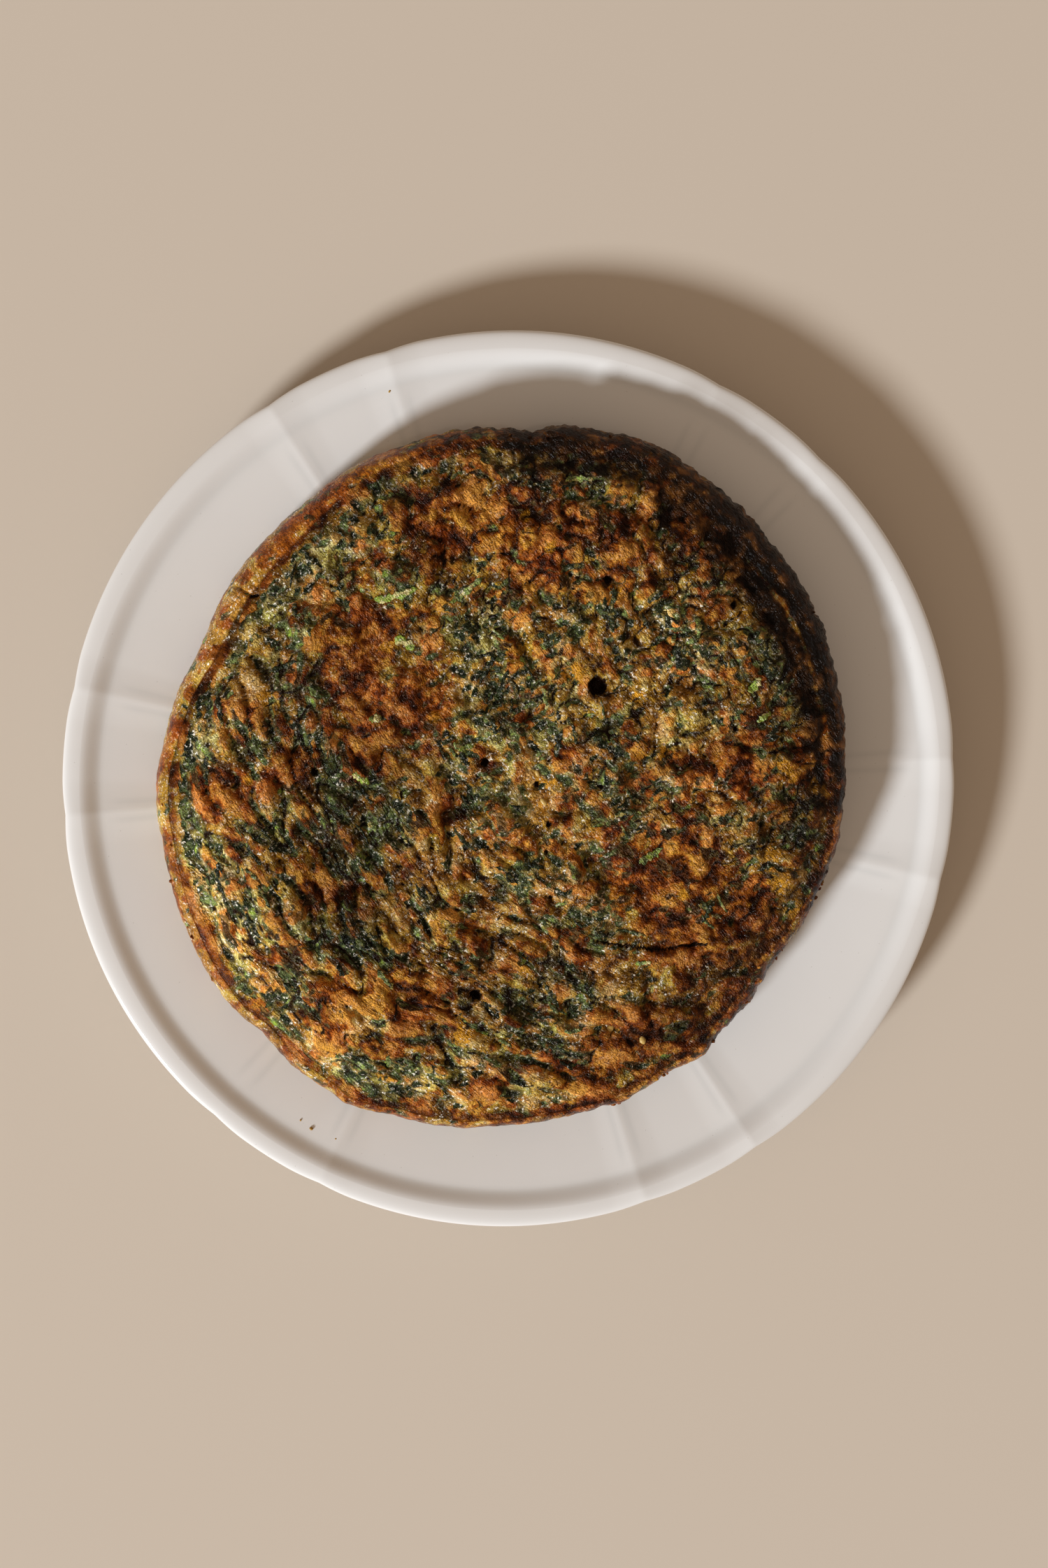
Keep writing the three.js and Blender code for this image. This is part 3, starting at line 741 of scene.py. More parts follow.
def egg_material():
    """Egg, olive egg and brown crust under torn leaf, then painted glints, painted shade in crevices, and
    char.
    """
    material, tree, shader = new_material(OMELETTE_SLOT)
    place = object_place(tree)
    along = attribute(tree, "along_fold", "Vector")
    folded, rise, pale_and_lit, grainy = (attribute(tree, name) for name in ("folded", "rise", "pale_and_lit", "grainy"))
    inputs = {"Place": place, "Along Fold": along, "Folded": folded}
    grains = add_node(tree, "ShaderNodeGroup", inputs, node_tree=fried_grain)
    height, number, glint, grit = grains.outputs
    broad = drifts(tree, place, BROAD_DRIFT, 1)
    mid = drifts(tree, place, MID_DRIFT, 2)
    small = drifts(tree, place, SMALL_DRIFT, 1)

    # Egg, from dark to light, and how olive and how browned it is
    browned = attribute(tree, "browned")
    browned = spread_out(tree, (browned, 1.3), (broad[0], 1.1), (mid[0], 1.6), (small[0], 0.3), (rise, 0.9))
    leaf = attribute(tree, "leaf")
    olive = spread_out(tree, (leaf, 1), (broad[1], 1), (mid[1], 1.8), (small[1], 0.25), (rise, -0.7))
    mottle = spread_out(tree, (broad[2], 0.9), (mid[2], 1.5), (small[2], 1.1))
    # Depth is also lighter on the folds' tops and darker in their valleys, as painted shade
    depth = spread_out(tree, (mix_values(tree, grainy, 0.5, mottle), 1), (rise, 0.72), (pale_and_lit, 0.6))
    colour = ramp(tree, depth, EGG_COLOURS)
    colour = blend(tree, share_of(tree, olive, 0.36, 0.53), colour, ramp(tree, depth, OLIVE_COLOURS))
    colour = blend(tree, share_of(tree, browned, 0.37, 0.55), colour, ramp(tree, depth, BROWN_COLOURS))
    colour = shaded(tree, colour, ramp(tree, drifts(tree, place, TINT_DRIFT, 1)[0], TINTS))
    distance, spot, _ = cells_of(tree, nudged(tree, place, 400, 3 * MM), AMBER_CELLS)
    amber = times(tree, share_of(tree, distance, 0.42, 0.2), share_of(tree, spot, AMBER_SHARE, 0))
    runny = spread_out(tree, (attribute(tree, "runny"), 1), (small[1], 1.2))
    amber = math_node(tree, "MAXIMUM", amber, times(tree, share_of(tree, runny, 0.35, 0.75), 0.85))
    colour = blend(tree, amber, colour, AMBER)

    # Torn leaf, veiled by egg round its edge, with a painted shadow along that edge
    amount = spread_out(tree, (leaf, 1), (broad[1], 0.5), (mid[1], 0.6), (rise, -0.35))
    inputs = {"Place": place, "Along Fold": along, "Amount": amount, "Folded": folded}
    mask, tone = add_node(tree, "ShaderNodeGroup", inputs, node_tree=torn_leaf).outputs
    thread = noise_node(tree, place, 1100, 2)
    leaf_depth = spread_out(tree, (tone, 0.7), (small[2], 0.9), (thread, 0.5))
    rough_mask = spread_out(tree, (mask, 1), (small[1], 0.35), (thread, 0.2))
    colour = blend(tree, times(tree, share_of(tree, rough_mask, 0, 0.5), 0.5), colour, LEAF_VEIL)
    covered = share_of(tree, rough_mask, 0.25, 0.95)
    leaf_colour = ramp(tree, leaf_depth, LEAF_COLOURS)
    leaf_colour = blend(tree, share_of(tree, browned, 0.42, 0.8), leaf_colour, FRIED_LEAF)
    colour = blend(tree, covered, colour, leaf_colour)
    # A painted shadow along the edge of each torn bit of leaf
    torn_edge_shade = times(tree, share_of(tree, rough_mask, 0.08, 0.28), share_of(tree, rough_mask, 0.6, 0.35))
    colour = blend(tree, times(tree, torn_edge_shade, 0.5), colour, CREVICE_SHADE)

    # Grains, grit with painted fine shade, painted glints, then painted shade where it is sunk, and char
    colour = shaded(tree, colour, ramp(tree, number, GRAIN_SHADES))
    # The grit darkens and whitens the colour as painted fine shade and glint
    colour = shaded(tree, colour, ramp(tree, grit, GRIT_SHADE_AND_GLINT))
    crusty = share_of(tree, browned, 0.3, 0.7)
    # Painted glints, pale on egg and leaf, and warm and fewer on the crust
    lively = spread_out(tree, (share_of(tree, mid[2], 0.35, 0.65), 0.8), (crusty, -0.55))
    glint = times(tree, glint, plus(tree, lively, 0.1))
    colour = blend(tree, glint, colour, blend(tree, crusty, GLINT_COLOUR, CRUST_GLINT_COLOUR))
    # Painted shade in the folds' creases, the steam holes and the cracks
    sunk_shade = spread_out(tree, (attribute(tree, "hollow_shade"), 1), (small[0], 0.6))
    colour = blend(tree, share_of(tree, sunk_shade, 0.25, 0.9), colour, CREVICE_SHADE)
    charred = spread_out(tree, (attribute(tree, "charred"), 1), (mid[1], 1), (small[1], 0.8))
    charred_colour = ramp(tree, depth, CHARRED_COLOURS)
    colour = blend(tree, share_of(tree, charred, 0.25, 0.85), colour, charred_colour)
    # Painted light and shade of the bands and the lip line, with the paler and darker patches
    colour = shaded(tree, colour, ramp(tree, pale_and_lit, PALE_AND_LIT_SHADES))
    tree.links.new(colour, shader.inputs["Base Color"])
    roughness = ramp(tree, mid[0], {0.35: grey(0.15), 0.65: grey(0.25)})
    tree.links.new(roughness, shader.inputs["Roughness"])
    height = plus(tree, height, times(tree, covered, -LEAF_FLATTENS))
    add_bump(tree, shader, times(tree, height, grainy), 1, MM)
    shader.inputs["Specular IOR Level"].default_value = 0.12
    return material


def square_to_disc(across, along):
    """Turns a square's places into shares of a disc's radius and directions in degrees."""
    flat = np.abs(across) > np.abs(along)
    share = np.where(flat, np.abs(across), np.abs(along))
    with np.errstate(divide="ignore", invalid="ignore"):
        on_sides = 45 * along / across + np.where(across > 0, 0, 180)
        on_ends = 90 - 45 * across / along + np.where(along > 0, 0, 180)
    degrees = np.where(flat, on_sides, on_ends)
    return share, np.where(share == 0, 0, degrees)


def rim_inset(degrees):
    return RIM_INSET + swelling(SLOPING_SIDES, degrees)


def top_height(share, degrees):
    """The top without its blisters, by share of the way out to the rim, in mm."""
    from_rim = (1 - share) * (outline(degrees) - rim_inset(degrees))
    ridge = RIM_RIDGE * np.exp(-((from_rim / RIM_RIDGE_WIDTH) ** 2))
    depth = GROOVE_DEPTH + swelling(GROOVED_SIDES, degrees)
    groove = depth * np.exp(-(((from_rim - GROOVE_INSET) / GROOVE_WIDTH) ** 2))
    swell = swelling(SWOLLEN_SIDES, degrees) * np.exp(-(((from_rim - SWELL_INSET) / SWELL_WIDTH) ** 2))
    fall = (CROWN_RISE + swelling(LOWERED_SIDES, degrees)) * share**CROWN_POWER
    return RIM_HEIGHT + CROWN_RISE - fall + swell + ridge - groove


def pits(x, y):
    """How far down the steam holes and cracks go at each place, in mm."""
    depth = np.zeros_like(x)
    for middle_x, middle_y, radius, deep in HOLES:
        apart = np.hypot(x - middle_x, y - middle_y)
        depth = np.maximum(depth, deep * smoothstep(apart, radius * 1.25, radius * 0.6))
    waver = 0.9 * slope_noise(x / 3, y / 3, 71)
    for x0, y0, x1, y1, deep in CRACKS:
        along = ((x - x0) * (x1 - x0) + (y - y0) * (y1 - y0)) / ((x1 - x0) ** 2 + (y1 - y0) ** 2)
        along = np.clip(along, 0, 1)
        apart = np.hypot(x - x0 - along * (x1 - x0), y + waver - y0 - along * (y1 - y0))
        depth = np.maximum(depth, deep * smoothstep(apart, CRACK_WIDTH, CRACK_WIDTH / 3))
    return depth


def seen_place(x, y):
    """A place of the top as the camera sees it."""
    return (x - SEEN_SHIFT[0]) / SEEN_SCALE, (y - SEEN_SHIFT[1]) / SEEN_SCALE


def true_place(seen_x, seen_y):
    """The place of the top that the camera sees there."""
    return SEEN_SCALE * seen_x + SEEN_SHIFT[0], SEEN_SCALE * seen_y + SEEN_SHIFT[1]


def top_surface(share, degrees):
    """Points of the top, how far in from its rim, the folds' height, and how much painted shade its creases
    and holes get.
    """
    rim = outline(degrees) - rim_inset(degrees) + ragged(degrees)
    top = polar(share * rim, degrees, 0.0)
    x, y = top[:, 0], top[:, 1]
    from_rim = (1 - share) * rim
    fold, hollow_shade = crumple(x, y)
    calm = 0.35 + 0.65 * smoothstep(from_rim, 0, 2 * GROOVE_INSET)
    blister = np.zeros_like(x)
    for wavelength, height, seed in BLISTERS:
        blister += height * lattice_noise(2 * x / wavelength, 2 * y / wavelength, seed)
    pit = pits(*seen_place(x, y))
    top[:, 2] = top_height(share, degrees) + (blister + fold) * calm - pit
    return top, from_rim, fold, np.maximum(hollow_shade * calm, smoothstep(pit, 0.3, 1.2))


def under_point(radius, directions):
    """Points of the underside, just clear of the plate and of its creases."""
    point = polar(radius, directions, 0.0)
    from_plate_middle = np.hypot(point[:, 0] + OMELETTE_MIDDLE[0], point[:, 1] + OMELETTE_MIDDLE[1])
    over_crease = CREASE_HEIGHT * smoothstep(from_plate_middle, WELL_RADIUS, CREASE_START_RADIUS)
    point[:, 2] = dish(from_plate_middle) + REST_GAP + over_crease
    return point


def under_rings(directions, foot):
    """Rings along the underside, which rests on the plate, out to its foot."""
    beyond_well = WELL_RADIUS + UNDER_TUCK
    middle_part = (2, 40, WELL_RADIUS - 2, WELL_RADIUS + 1, WELL_RADIUS + 4)
    radii = (*middle_part, beyond_well, (beyond_well + foot) / 2)
    return [under_point(radius, directions) for radius in radii]


def side_rings(directions, rim_z):
    """Rings up the side, from its foot round the waist to just below the rim."""
    rings = []
    for turn in np.linspace(0, 1, UNDER_RINGS + 1)[:-1]:
        angle = math.radians(90 * (turn - 1))
        radius = outline(directions) - UNDER_TUCK * (1 - math.cos(angle)) + ragged(directions) * turn
        under_z = under_point(radius, directions)[:, 2]
        z = WAIST_HEIGHT + (under_z - WAIST_HEIGHT) * abs(math.sin(angle))
        rings.append(polar(radius, directions, z))
    for turn in np.linspace(0, 1, SIDE_RINGS + 1)[:-1]:
        angle = math.radians(90 * turn)
        radius = outline(directions) + ragged(directions) - rim_inset(directions) * (1 - math.cos(angle))
        z = WAIST_HEIGHT + (rim_z - WAIST_HEIGHT) * math.sin(angle)
        around = np.radians(directions) * OMELETTE_RADIUS
        rough = 0.5 * slope_noise(around / 3.1, z / 4.2, 51) + 0.3 * slope_noise(around / 1.6, z / 1.7, 52)
        rough *= 0.5 + np.minimum(1, swelling(CHARRED_SIDES, directions))
        rings.append(polar(radius + rough * math.cos(angle), directions, z))
    return rings


def make_omelette():
    cells = TOP_CELLS
    step = 2 * np.arange(cells + 1) / cells - 1
    across, along = np.meshgrid(step, step, indexing="ij")
    share, degrees = square_to_disc(across.ravel(), along.ravel())
    top, from_rim, fold, hollow_shade = top_surface(share, degrees)
    x, y = top[:, 0], top[:, 1]
    seen_x, seen_y = seen_place(x, y)

    number = np.arange((cells + 1) ** 2).reshape(cells + 1, cells + 1)
    quads = np.stack([number[:-1, :-1], number[1:, :-1], number[1:, 1:], number[:-1, 1:]], axis=-1)
    border = np.concatenate([number[:-1, 0], number[-1, :-1], number[:0:-1, -1], number[0, :0:-1]])
    directions = degrees[border]
    columns = len(border)
    rings = under_rings(directions, outline(directions) - UNDER_TUCK)
    rings += side_rings(directions, top[border, 2])
    points = np.concatenate([top, *rings])
    first = len(top)
    last = len(points) - columns
    faces = quads.reshape(-1, 4).tolist() + ring_faces(columns, len(rings), first)
    column = np.arange(columns)
    seam = [column + last, (column + 1) % columns + last, np.roll(border, -1), border]
    faces += np.stack(seam, axis=-1).tolist()
    faces.append(list(range(first, first + columns))[::-1])
    points += (*OMELETTE_MIDDLE, 0)
    piece = new_piece("chard_omelette", points, faces, egg_material())
    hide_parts("omelette")

    wander_x = seen_x + 2.5 * slope_noise(x / 9, y / 9, 61)
    wander_y = seen_y + 2.5 * slope_noise(x / 9, y / 9, 62)
    leafy, browned, golden = (patches(places, wander_x, wander_y) for places in (LEAFY, BROWNED, GOLDEN))
    smooth = np.minimum(1, swelling(SMOOTH_SIDES, degrees))
    side_directions = np.tile(directions, len(rings))
    side_smooth = np.minimum(1, swelling(SMOOTH_SIDES, side_directions))
    in_groove = smooth * np.exp(-(((from_rim - GROOVE_INSET) / GROOVE_WIDTH) ** 2))
    on_ridge = np.exp(-(((from_rim - 0.6) / 1.6) ** 2))
    leaf = np.clip(0.26 + 0.4 * leafy - 0.12 * golden - 0.22 * browned + 0.3 * in_groove, 0.05, 0.85)
    leaf *= 1 - 0.85 * on_ridge
    browned = 0.42 + 0.5 * browned - 0.35 * golden - 0.15 * leafy - 0.4 * in_groove
    browned += (0.5 - 0.3 * smooth) * on_ridge
    pale_and_lit = 0.5 - 0.16 * on_ridge
    for places, sign in ((PALE_PLACES, 1), (DARK_PLACES, -1)):
        for middle_x, middle_y, spread, amount in places:
            pale_and_lit += sign * amount * patches(((middle_x, middle_y, spread),), wander_x, wander_y)
    # Painted light on the shoulder that faces the light, and painted shade on the slope inside it
    for at, spread, amount, inset, width in LIT_AND_SHADED_BANDS:
        pale_and_lit += swelling(((at, spread, amount),), degrees) * np.exp(-(((from_rim - inset) / width) ** 2))
    # A painted highlight along the lip line inside the charred rim, where the char is left off
    lit_lip = swelling(LIT_LIP_LINES, degrees) * np.exp(-(((from_rim - LIP_LINE_INSET) / LIP_LINE_WIDTH) ** 2))
    pale_and_lit += 0.12 * lit_lip
    char = swelling(CHARRED_SIDES, degrees) * (1 - lit_lip)
    side_z = points[first:, 2]
    side_char = swelling(CHARRED_SIDES, side_directions)
    up_side = smoothstep(side_z, WAIST_HEIGHT - 6, RIM_HEIGHT - 1)
    level = 0 * side_z
    values = {
        "leaf": np.concatenate([leaf, 0.1 - 0.03 * side_smooth]),
        "browned": np.concatenate([browned, 0.3 + (0.35 - 0.2 * side_smooth) * up_side]),
        "rise": np.concatenate([0.5 + 0.4 * fold, 0.5 + level]),
        "hollow_shade": np.concatenate([hollow_shade, level]),
        "charred": np.concatenate([char * smoothstep(from_rim, CHARRED_WIDTH, CHARRED_EDGE), side_char]),
        "pale_and_lit": np.concatenate([pale_and_lit, 0.5 + 0.12 * side_smooth]),
        "runny": np.concatenate([patches(YOLKY, wander_x, wander_y), level]),
        "grainy": np.concatenate([1 - 0.6 * smooth * on_ridge, 1 - 0.6 * side_smooth]),
        "folded": np.concatenate([long_folds(x, y), level]),
    }
    put_values(piece, values)
    along, across = flow(x, y)
    folds = np.zeros((len(points), 3))
    folds[: len(top)] = np.stack([along, across, 0 * along], axis=-1) * MM
    along_fold = piece.data.attributes.new("along_fold", "FLOAT_VECTOR", "POINT")
    along_fold.data.foreach_set("vector", folds.ravel())
    return piece


omelette = make_omelette()

# Strips and scraps of chard leaf and stem lie half sunk in the egg, wilted and oily. Some of
# the stems stayed light green.
# Middle, direction in degrees, length, width and tone, from dark 0 to light 1
CHARD_PIECES = (
    (32.3, 49.5, 92, 15, 3.6, 0.42), (-32.8, 54.6, 12, 14, 3.2, 1), (-12.1, 55.5, 38, 13, 2.2, 0.82),
    (-30, 39.8, -25, 7, 3, 1), (53.8, 36, 104, 10, 4.2, 0.3), (81.7, 13.4, 80, 8, 4.6, 0.2),
    (75.4, 27.2, 50, 6, 2.6, 1), (78.5, 17.7, 30, 6, 2.2, 1), (5.7, -33, 84, 12, 7.5, 0.62),
    (-38.7, 17.9, 0, 4, 2.6, 0.85), (-43, 0.2, -30, 6, 2.6, 1), (11.6, 23, 105, 7, 2.6, 0.85),
    (-13.5, 8.6, -40, 6, 2.4, 0.8), (16.6, 9.6, 80, 9, 2.6, 0.25), (47.8, 48.3, -60, 9, 5, 0.4),
    (45.8, 54.2, 40, 8, 2.4, 0.3), (22.2, 88.2, 5, 9, 2.4, 0.85), (80.3, 31.6, 110, 7, 3.4, 0.3),
    (-5, 32, 60, 11, 1.8, 0.25), (2, 27, -60, 9, 1.8, 0.25), (-4, 36, 5, 9, 1.6, 0.25),
    (-36, -60, -55, 8, 2.4, 0.7), (-34, -87, -60, 8, 2.6, 0.8), (42, -57, 10, 5, 1.8, 0.95),
    (28, -48, 60, 9, 2.6, 0.55), (44, -24, 30, 9, 2.8, 0.85),
    (-66, 33, 20, 9, 2, 0.3), (-84, 20, 95, 10, 2.2, 0.25), (-88, 2, 92, 9, 2.4, 0.3),
    (-84, -30, 100, 11, 2.2, 0.3), (-75, -44, 118, 9, 2, 0.35), (-62, -66, 135, 12, 2.4, 0.3),
    (-40, -86, 160, 11, 2.4, 0.25), (-12, -18, -50, 11, 1.6, 0.35), (20, 14, -70, 9, 1.6, 0.3),
    (0, 26, 80, 12, 1.8, 0.3), (38, -48, -8, 10, 1.5, 0.6), (20, 62, 20, 8, 1.8, 0.35),
    (-48, 58, 40, 10, 2.2, 0.35), (62, -42, 60, 8, 2.2, 0.3), (14, -66, -60, 9, 1.8, 0.4),
)  # fmt: skip
# Scraps are scattered over the leafy places, this far in from the edge
CHARD_SCRAPS = 150
SCRAPS_INSET = 14
CHARD_RISE = 0.05
CHARD_THICKNESS = 0.55
# Egg is smeared over a strip where a noise from 0 to 1 is above this
SMEARED = 0.51
STRIP_STEPS = 13


def on_top(x, y):
    """The top's height at places in mm from the omelette's middle."""
    degrees = np.degrees(np.arctan2(y, x))
    share = np.hypot(x, y) / (outline(degrees) - rim_inset(degrees) + ragged(degrees))
    return top_surface(share, degrees)[0][:, 2]


def strand(line, across, half_widths, half_heights, columns=8):
    """Points and faces of a closed tube round a line, flat where it is wider than high."""
    turn = np.arange(columns) * 2 * np.pi / columns
    up = np.array([0, 0, 1])
    rings = [
        point + np.cos(turn)[:, None] * wide * side + np.sin(turn)[:, None] * high * up
        for point, side, wide, high in zip(line, across, half_widths, half_heights)
    ]
    last = columns * (len(rings) - 1)
    ends = [list(range(columns))[::-1], list(range(last, last + columns))]
    return np.concatenate(rings), ring_faces(columns, len(rings)) + ends


def heap(parts):
    """One set of points and faces from many."""
    points, faces, first = [], [], 0
    for part_points, part_faces in parts:
        points.append(part_points)
        faces += [[first + number for number in face] for face in part_faces]
        first += len(part_points)
    return np.concatenate(points), faces


def leaf_strip(x, y, degrees, length, width, dice):
    """One bent strip that follows the top."""
    steps = np.linspace(-0.5, 0.5, STRIP_STEPS)
    bend = math.radians(dice.uniform(-40, 40))
    heading = math.radians(degrees) + bend * steps
    middle = heading[STRIP_STEPS // 2]
    aside = np.array([dice.uniform(-0.12, 0.12) * width for _ in steps])
    run_x = x + length * (np.cumsum(np.cos(heading)) / STRIP_STEPS - 0.5 * np.cos(middle))
    run_y = y + length * (np.cumsum(np.sin(heading)) / STRIP_STEPS - 0.5 * np.sin(middle))
    run_x, run_y = run_x - aside * np.sin(heading), run_y + aside * np.cos(heading)
    z = on_top(run_x, run_y)
    z = 0.5 * z + 0.25 * (np.roll(z, 1) + np.roll(z, -1))
    z[[0, -1]] = on_top(run_x[[0, -1]], run_y[[0, -1]])
    shape = np.sqrt(np.clip(1 - (2 * steps) ** 4, 0.06, 1))
    shape = shape * np.array([dice.uniform(0.5, 1.2) for _ in steps])
    line = np.stack([run_x, run_y, z + CHARD_RISE], axis=-1)
    tilt = [dice.uniform(-0.3, 0.3) for _ in steps]
    across = np.stack([-np.sin(heading), np.cos(heading), tilt], axis=-1)
    return strand(line, across, width / 2 * shape, CHARD_THICKNESS / 2 * np.sqrt(shape) + 0 * z)


def chard_material():
    material, tree, shader = new_material("wilted_chard")
    place = object_place(tree)
    inputs = {"Place": place, "Along Fold": place, "Folded": 0.0}
    grains = add_node(tree, "ShaderNodeGroup", inputs, node_tree=fried_grain)
    height, number, glint, grit = grains.outputs
    mottle = noise_node(tree, place, 500, 2)
    tone = attribute(tree, "tone")
    depth = spread_out(tree, (tone, 1), (mottle, 0.9), (number, 0.2), (grit, 0.4))
    colour = ramp(tree, depth, LEAF_COLOURS)
    smeared = share_of(tree, noise_node(tree, place, 430, 3), SMEARED, SMEARED + 0.1)
    colour = blend(tree, smeared, colour, ramp(tree, depth, OLIVE_COLOURS))
    # The grit darkens and whitens the colour as painted fine shade and glint
    colour = shaded(tree, colour, ramp(tree, grit, GRIT_SHADE_AND_GLINT))
    # Painted glints
    colour = blend(tree, times(tree, glint, 0.45), colour, GLINT_COLOUR)
    tree.links.new(colour, shader.inputs["Base Color"])
    add_bump(tree, shader, height, 0.8, MM)
    shader.inputs["Roughness"].default_value = 0.2
    shader.inputs["Specular IOR Level"].default_value = 0.2
    return material


def make_chard():
    dice = random.Random(5)
    parts, tones = [], []
    for seen_x, seen_y, degrees, length, width, tone in CHARD_PIECES:
        x, y = true_place(seen_x, seen_y)
        parts.append(leaf_strip(x, y, degrees, length, width, dice))
        tones += [tone] * len(parts[-1][0])
    for _ in range(CHARD_SCRAPS):
        seen_x, seen_y, spread = dice.choice(LEAFY)
        away_x, away_y = dice.gauss(0, 0.6 * spread), dice.gauss(0, 0.6 * spread)
        x, y = true_place(seen_x + away_x, seen_y + away_y)
        if math.hypot(x, y) > OMELETTE_RADIUS - SCRAPS_INSET:
            continue
        degrees = math.degrees(math.atan2(y - FOLD_CENTRE[1], x - FOLD_CENTRE[0])) + 90
        degrees = dice.gauss(degrees, 16) if x + y < 0 else dice.uniform(0, 180)
        tone = dice.choice((0.15, 0.25, 0.35, 0.5, 0.7))
        parts.append(leaf_strip(x, y, degrees, dice.uniform(3, 8), dice.uniform(0.8, 2), dice))
        tones += [tone] * len(parts[-1][0])
    points, faces = heap(parts)
    middle = (*OMELETTE_MIDDLE, 0)
    piece = new_piece("chard_strips", points + middle, faces, chard_material())
    put_values(piece, {"tone": tones})
    return piece


chard_strips = make_chard()

# The edge is crumbly where the crust tore as it came out of the pan, with lumps of egg and
# crust stuck along it, and a few crumbs have dropped on the plate.
# Larger flakes: direction, how far out of the rim and up it lies, length and width
FLAKES = (
    (82.5, 2.2, -1.2, 8, 2.4), (86, 0.8, -1, 4, 2), (70.5, 1.2, -1, 4.5, 1.8), (160.5, -4, 0, 8, 5),
    (147, -2, -0.2, 8, 3), (305, 0.3, -0.8, 5.5, 2.4), (294, 0.3, -1, 4.5, 2),
)  # fmt: skip
# Lumps: from and to which direction, how many
LUMPY_SIDES = ((285, 345, 26), (20, 95, 12), (95, 285, 14))
LUMP_SIZES = (0.25, 0.6)
# Bits of pale egg on the top, and crumbs on the plate: middle and size
PALE_BITS = ((32.3, -77.2, 3.4), (42.2, -80.8, 3), (11.8, -7.7, 2.6), (9.9, 0.8, 2.2))
PLATE_CRUMBS = ((-62.8, -103.6, 0.45), (-55.4, -107, 0.35), (-38.1, 117.1, 0.4), (-66, -101, 0.25))


def lump(x, y, z, half_length, half_width, half_height, degrees, dice):
    """An uneven pebble."""
    steps = np.linspace(-0.94, 0.94, 6)
    heading = math.radians(degrees)
    shape = np.sqrt(1 - steps**2) * np.array([dice.uniform(0.75, 1.2) for _ in steps])
    line = np.array([x, y, z]) + half_length * steps[:, None] * (math.cos(heading), math.sin(heading), 0)
    line[:, 2] += [dice.uniform(-0.2, 0.2) * half_height for _ in steps]
    across = np.tile([-math.sin(heading), math.cos(heading), dice.uniform(-0.3, 0.3)], (len(steps), 1))
    return strand(line, across, half_width * shape, half_height * shape)


def on_rim(degrees, turn):
    """A point of the side, from 0 at its waist to 1 at the rim."""
    angle = math.radians(90 * turn)
    at = np.array([degrees], dtype=float)
    rim_z = top_surface(np.ones(1), at)[0][0, 2]
    radius = float(outline(at)[0] - rim_inset(at)[0] * (1 - math.cos(angle)))
    z = WAIST_HEIGHT + (rim_z - WAIST_HEIGHT) * math.sin(angle)
    return polar(radius, degrees, z)


def make_crust_lumps(material):
    dice = random.Random(9)
    parts, charred, browned = [], [], []

    def add(part, degrees, brown):
        parts.append(part)
        char = float(swelling(CHARRED_SIDES, np.array([degrees]))[0])
        charred.extend([char] * len(part[0]))
        browned.extend([brown] * len(part[0]))

    for degrees, out, up, length, width in FLAKES:
        x, y, z = on_rim(degrees, 1) + polar(out, degrees, up)
        height = dice.uniform(1, 1.4)
        turn = degrees + 90 + dice.uniform(-12, 12)
        add(lump(x, y, z, length / 2, width / 2, height, turn, dice), degrees, 0.9)
    for start, end, count in LUMPY_SIDES:
        for _ in range(count):
            degrees = dice.uniform(start, end)
            x, y, z = on_rim(degrees, dice.uniform(0.3, 0.9))
            size = dice.uniform(*LUMP_SIZES)
            sizes = (size * dice.uniform(1, 1.8), size, size * dice.uniform(0.6, 1))
            turn = degrees + 90 + dice.uniform(-50, 50)
            add(lump(x, y, z, *sizes, turn, dice), degrees, dice.uniform(0.4, 1))
    points, faces = heap(parts)
    middle = (*OMELETTE_MIDDLE, 0)
    piece = new_piece("crust_lumps", points + middle, faces, material)
    level = np.zeros(len(points))
    same = {"leaf": 0.05, "rise": 0.7, "pale_and_lit": 0.5, "grainy": 0.8}
    values = {name: level + value for name, value in same.items()}
    put_values(piece, {"browned": browned, "charred": charred, **values})
    return piece


def crumb_material():
    material, tree, shader = new_material("egg_crumb")
    mottle = noise_node(tree, object_place(tree), 700, 2)
    depth = spread_out(tree, (attribute(tree, "tone"), 1), (mottle, 0.6))
    colour = ramp(tree, depth, EGG_COLOURS)
    tree.links.new(colour, shader.inputs["Base Color"])
    shader.inputs["Roughness"].default_value = 0.35
    shader.inputs["Specular IOR Level"].default_value = 0.3
    return material


def make_crumbs():
    dice = random.Random(3)
    parts, tones = [], []
    for seen_x, seen_y, size in PALE_BITS:
        x, y = true_place(seen_x, seen_y)
        z = on_top(np.array([x]), np.array([y]))[0] + 0.15
        turn = dice.uniform(0, 180)
        place = (x + OMELETTE_MIDDLE[0], y + OMELETTE_MIDDLE[1], z)
        parts.append(lump(*place, size / 2, size / 3.4, 0.5, turn, dice))
        tones += [0.85] * len(parts[-1][0])
    for x, y, size in PLATE_CRUMBS:
        z = plate_top(math.hypot(x, y)) + 0.6 * size
        parts.append(lump(x, y, float(z), size * 1.3, size, 0.7 * size, dice.uniform(0, 180), dice))
        tones += [0.7] * len(parts[-1][0])
    points, faces = heap(parts)
    piece = new_piece("egg_crumbs", points, faces, crumb_material())
    put_values(piece, {"tone": tones})
    return piece


crust_lumps = make_crust_lumps(omelette.data.materials[0])
egg_crumbs = make_crumbs()

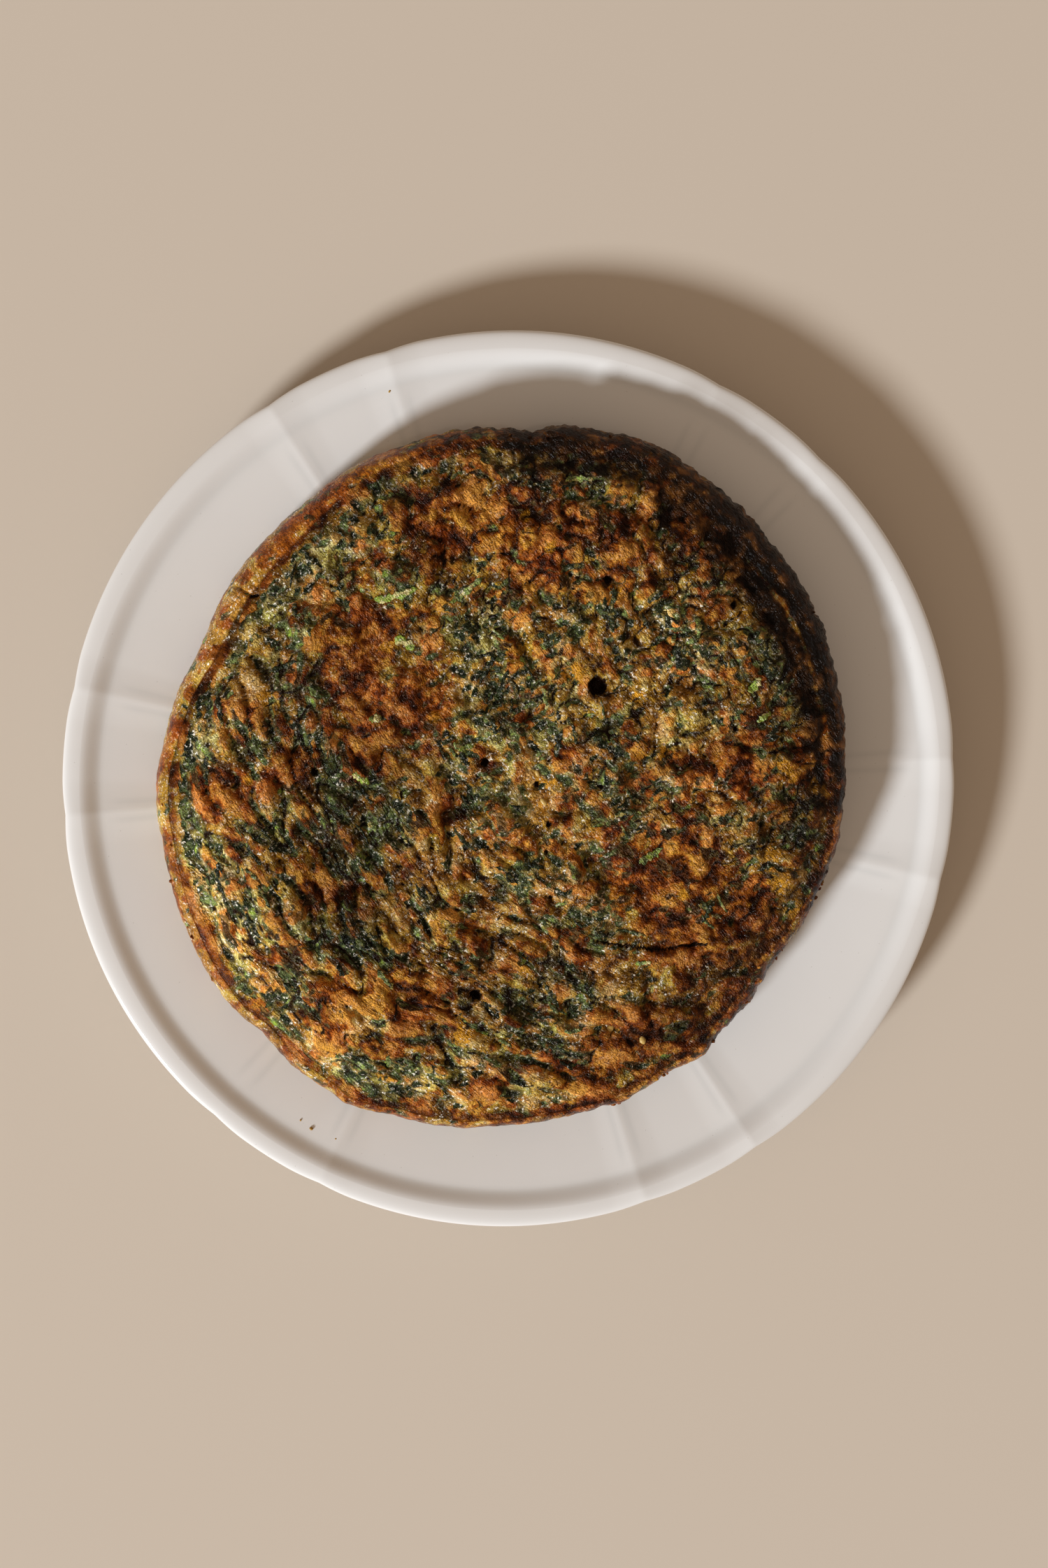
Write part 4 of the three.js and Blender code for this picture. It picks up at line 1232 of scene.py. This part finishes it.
# Table, light and camera: a plain pale floor, one large soft light from the lower left,
# and a camera almost straight above, leaning a little to the left.
FLOOR_COLOUR = (0.64, 0.555, 0.46, 1)
LIGHT_DIRECTION = 222.5
LIGHT_ELEVATION = 28
LIGHT_DISTANCE = 10
LIGHT_SIZE = 1.7
LIGHT_POWER = 1210
LIGHT_COLOUR = (0.9, 0.95, 1)
SKY_COLOUR = (1, 0.77, 0.58, 1)
SKY_STRENGTH = 0.36
CAMERA_DISTANCE = 0.6538
CAMERA_LEAN = 7.6
CAMERA_LEAN_DIRECTION = 143.6
# The place looked at and the lens are in mm, the distances and sizes above and below in metres
LOOK_AT = (1.53, 0.61, 20)
SENSOR_WIDTH = 36
FOCAL_LENGTH = 50
FLOOR_REACH = 3


def direction(azimuth, elevation):
    azimuth, elevation = math.radians(azimuth), math.radians(elevation)
    flat = math.cos(elevation)
    return Vector((flat * math.cos(azimuth), flat * math.sin(azimuth), math.sin(elevation)))


def make_studio():
    scene = bpy.context.scene
    mesh = bpy.data.meshes.new("floor")
    corners = [(x * FLOOR_REACH, y * FLOOR_REACH, 0) for x, y in ((-1, -1), (1, -1), (1, 1), (-1, 1))]
    mesh.from_pydata(corners, [], [(0, 1, 2, 3)])
    material, _, shader = new_material("pale_floor")
    shader.inputs["Base Color"].default_value = FLOOR_COLOUR
    shader.inputs["Roughness"].default_value = 0.9
    mesh.materials.append(material)
    floor = bpy.data.objects.new("floor", mesh)
    scene.collection.objects.link(floor)

    look_at = Vector(LOOK_AT) * MM
    lamp = bpy.data.lights.new("window", "AREA")
    lamp.shape = "DISK"
    lamp.size = LIGHT_SIZE
    lamp.energy = LIGHT_POWER
    lamp.color = LIGHT_COLOUR
    window = bpy.data.objects.new("window", lamp)
    toward = direction(LIGHT_DIRECTION, LIGHT_ELEVATION)
    window.location = look_at + toward * LIGHT_DISTANCE
    window.rotation_mode = "QUATERNION"
    window.rotation_quaternion = toward.to_track_quat("Z", "Y")
    scene.collection.objects.link(window)

    world = bpy.data.worlds.new("studio")
    world.use_nodes = True
    sky = world.node_tree.nodes["Background"]
    sky.inputs["Color"].default_value = SKY_COLOUR
    sky.inputs["Strength"].default_value = SKY_STRENGTH
    scene.world = world

    camera_data = bpy.data.cameras.new("camera")
    camera_data.sensor_width = SENSOR_WIDTH
    camera_data.lens = FOCAL_LENGTH
    camera = bpy.data.objects.new("camera", camera_data)
    back = direction(CAMERA_LEAN_DIRECTION, 90 - CAMERA_LEAN)
    camera.location = look_at + back * CAMERA_DISTANCE
    up = Vector((0, 1, 0))
    right = up.cross(back).normalized()
    up = back.cross(right)
    camera.rotation_mode = "QUATERNION"
    axes = [[right[i], up[i], back[i]] for i in range(3)]
    camera.rotation_quaternion = Matrix(axes).to_quaternion()
    scene.collection.objects.link(camera)
    scene.camera = camera
    scene.view_settings.view_transform = "Standard"


make_studio()
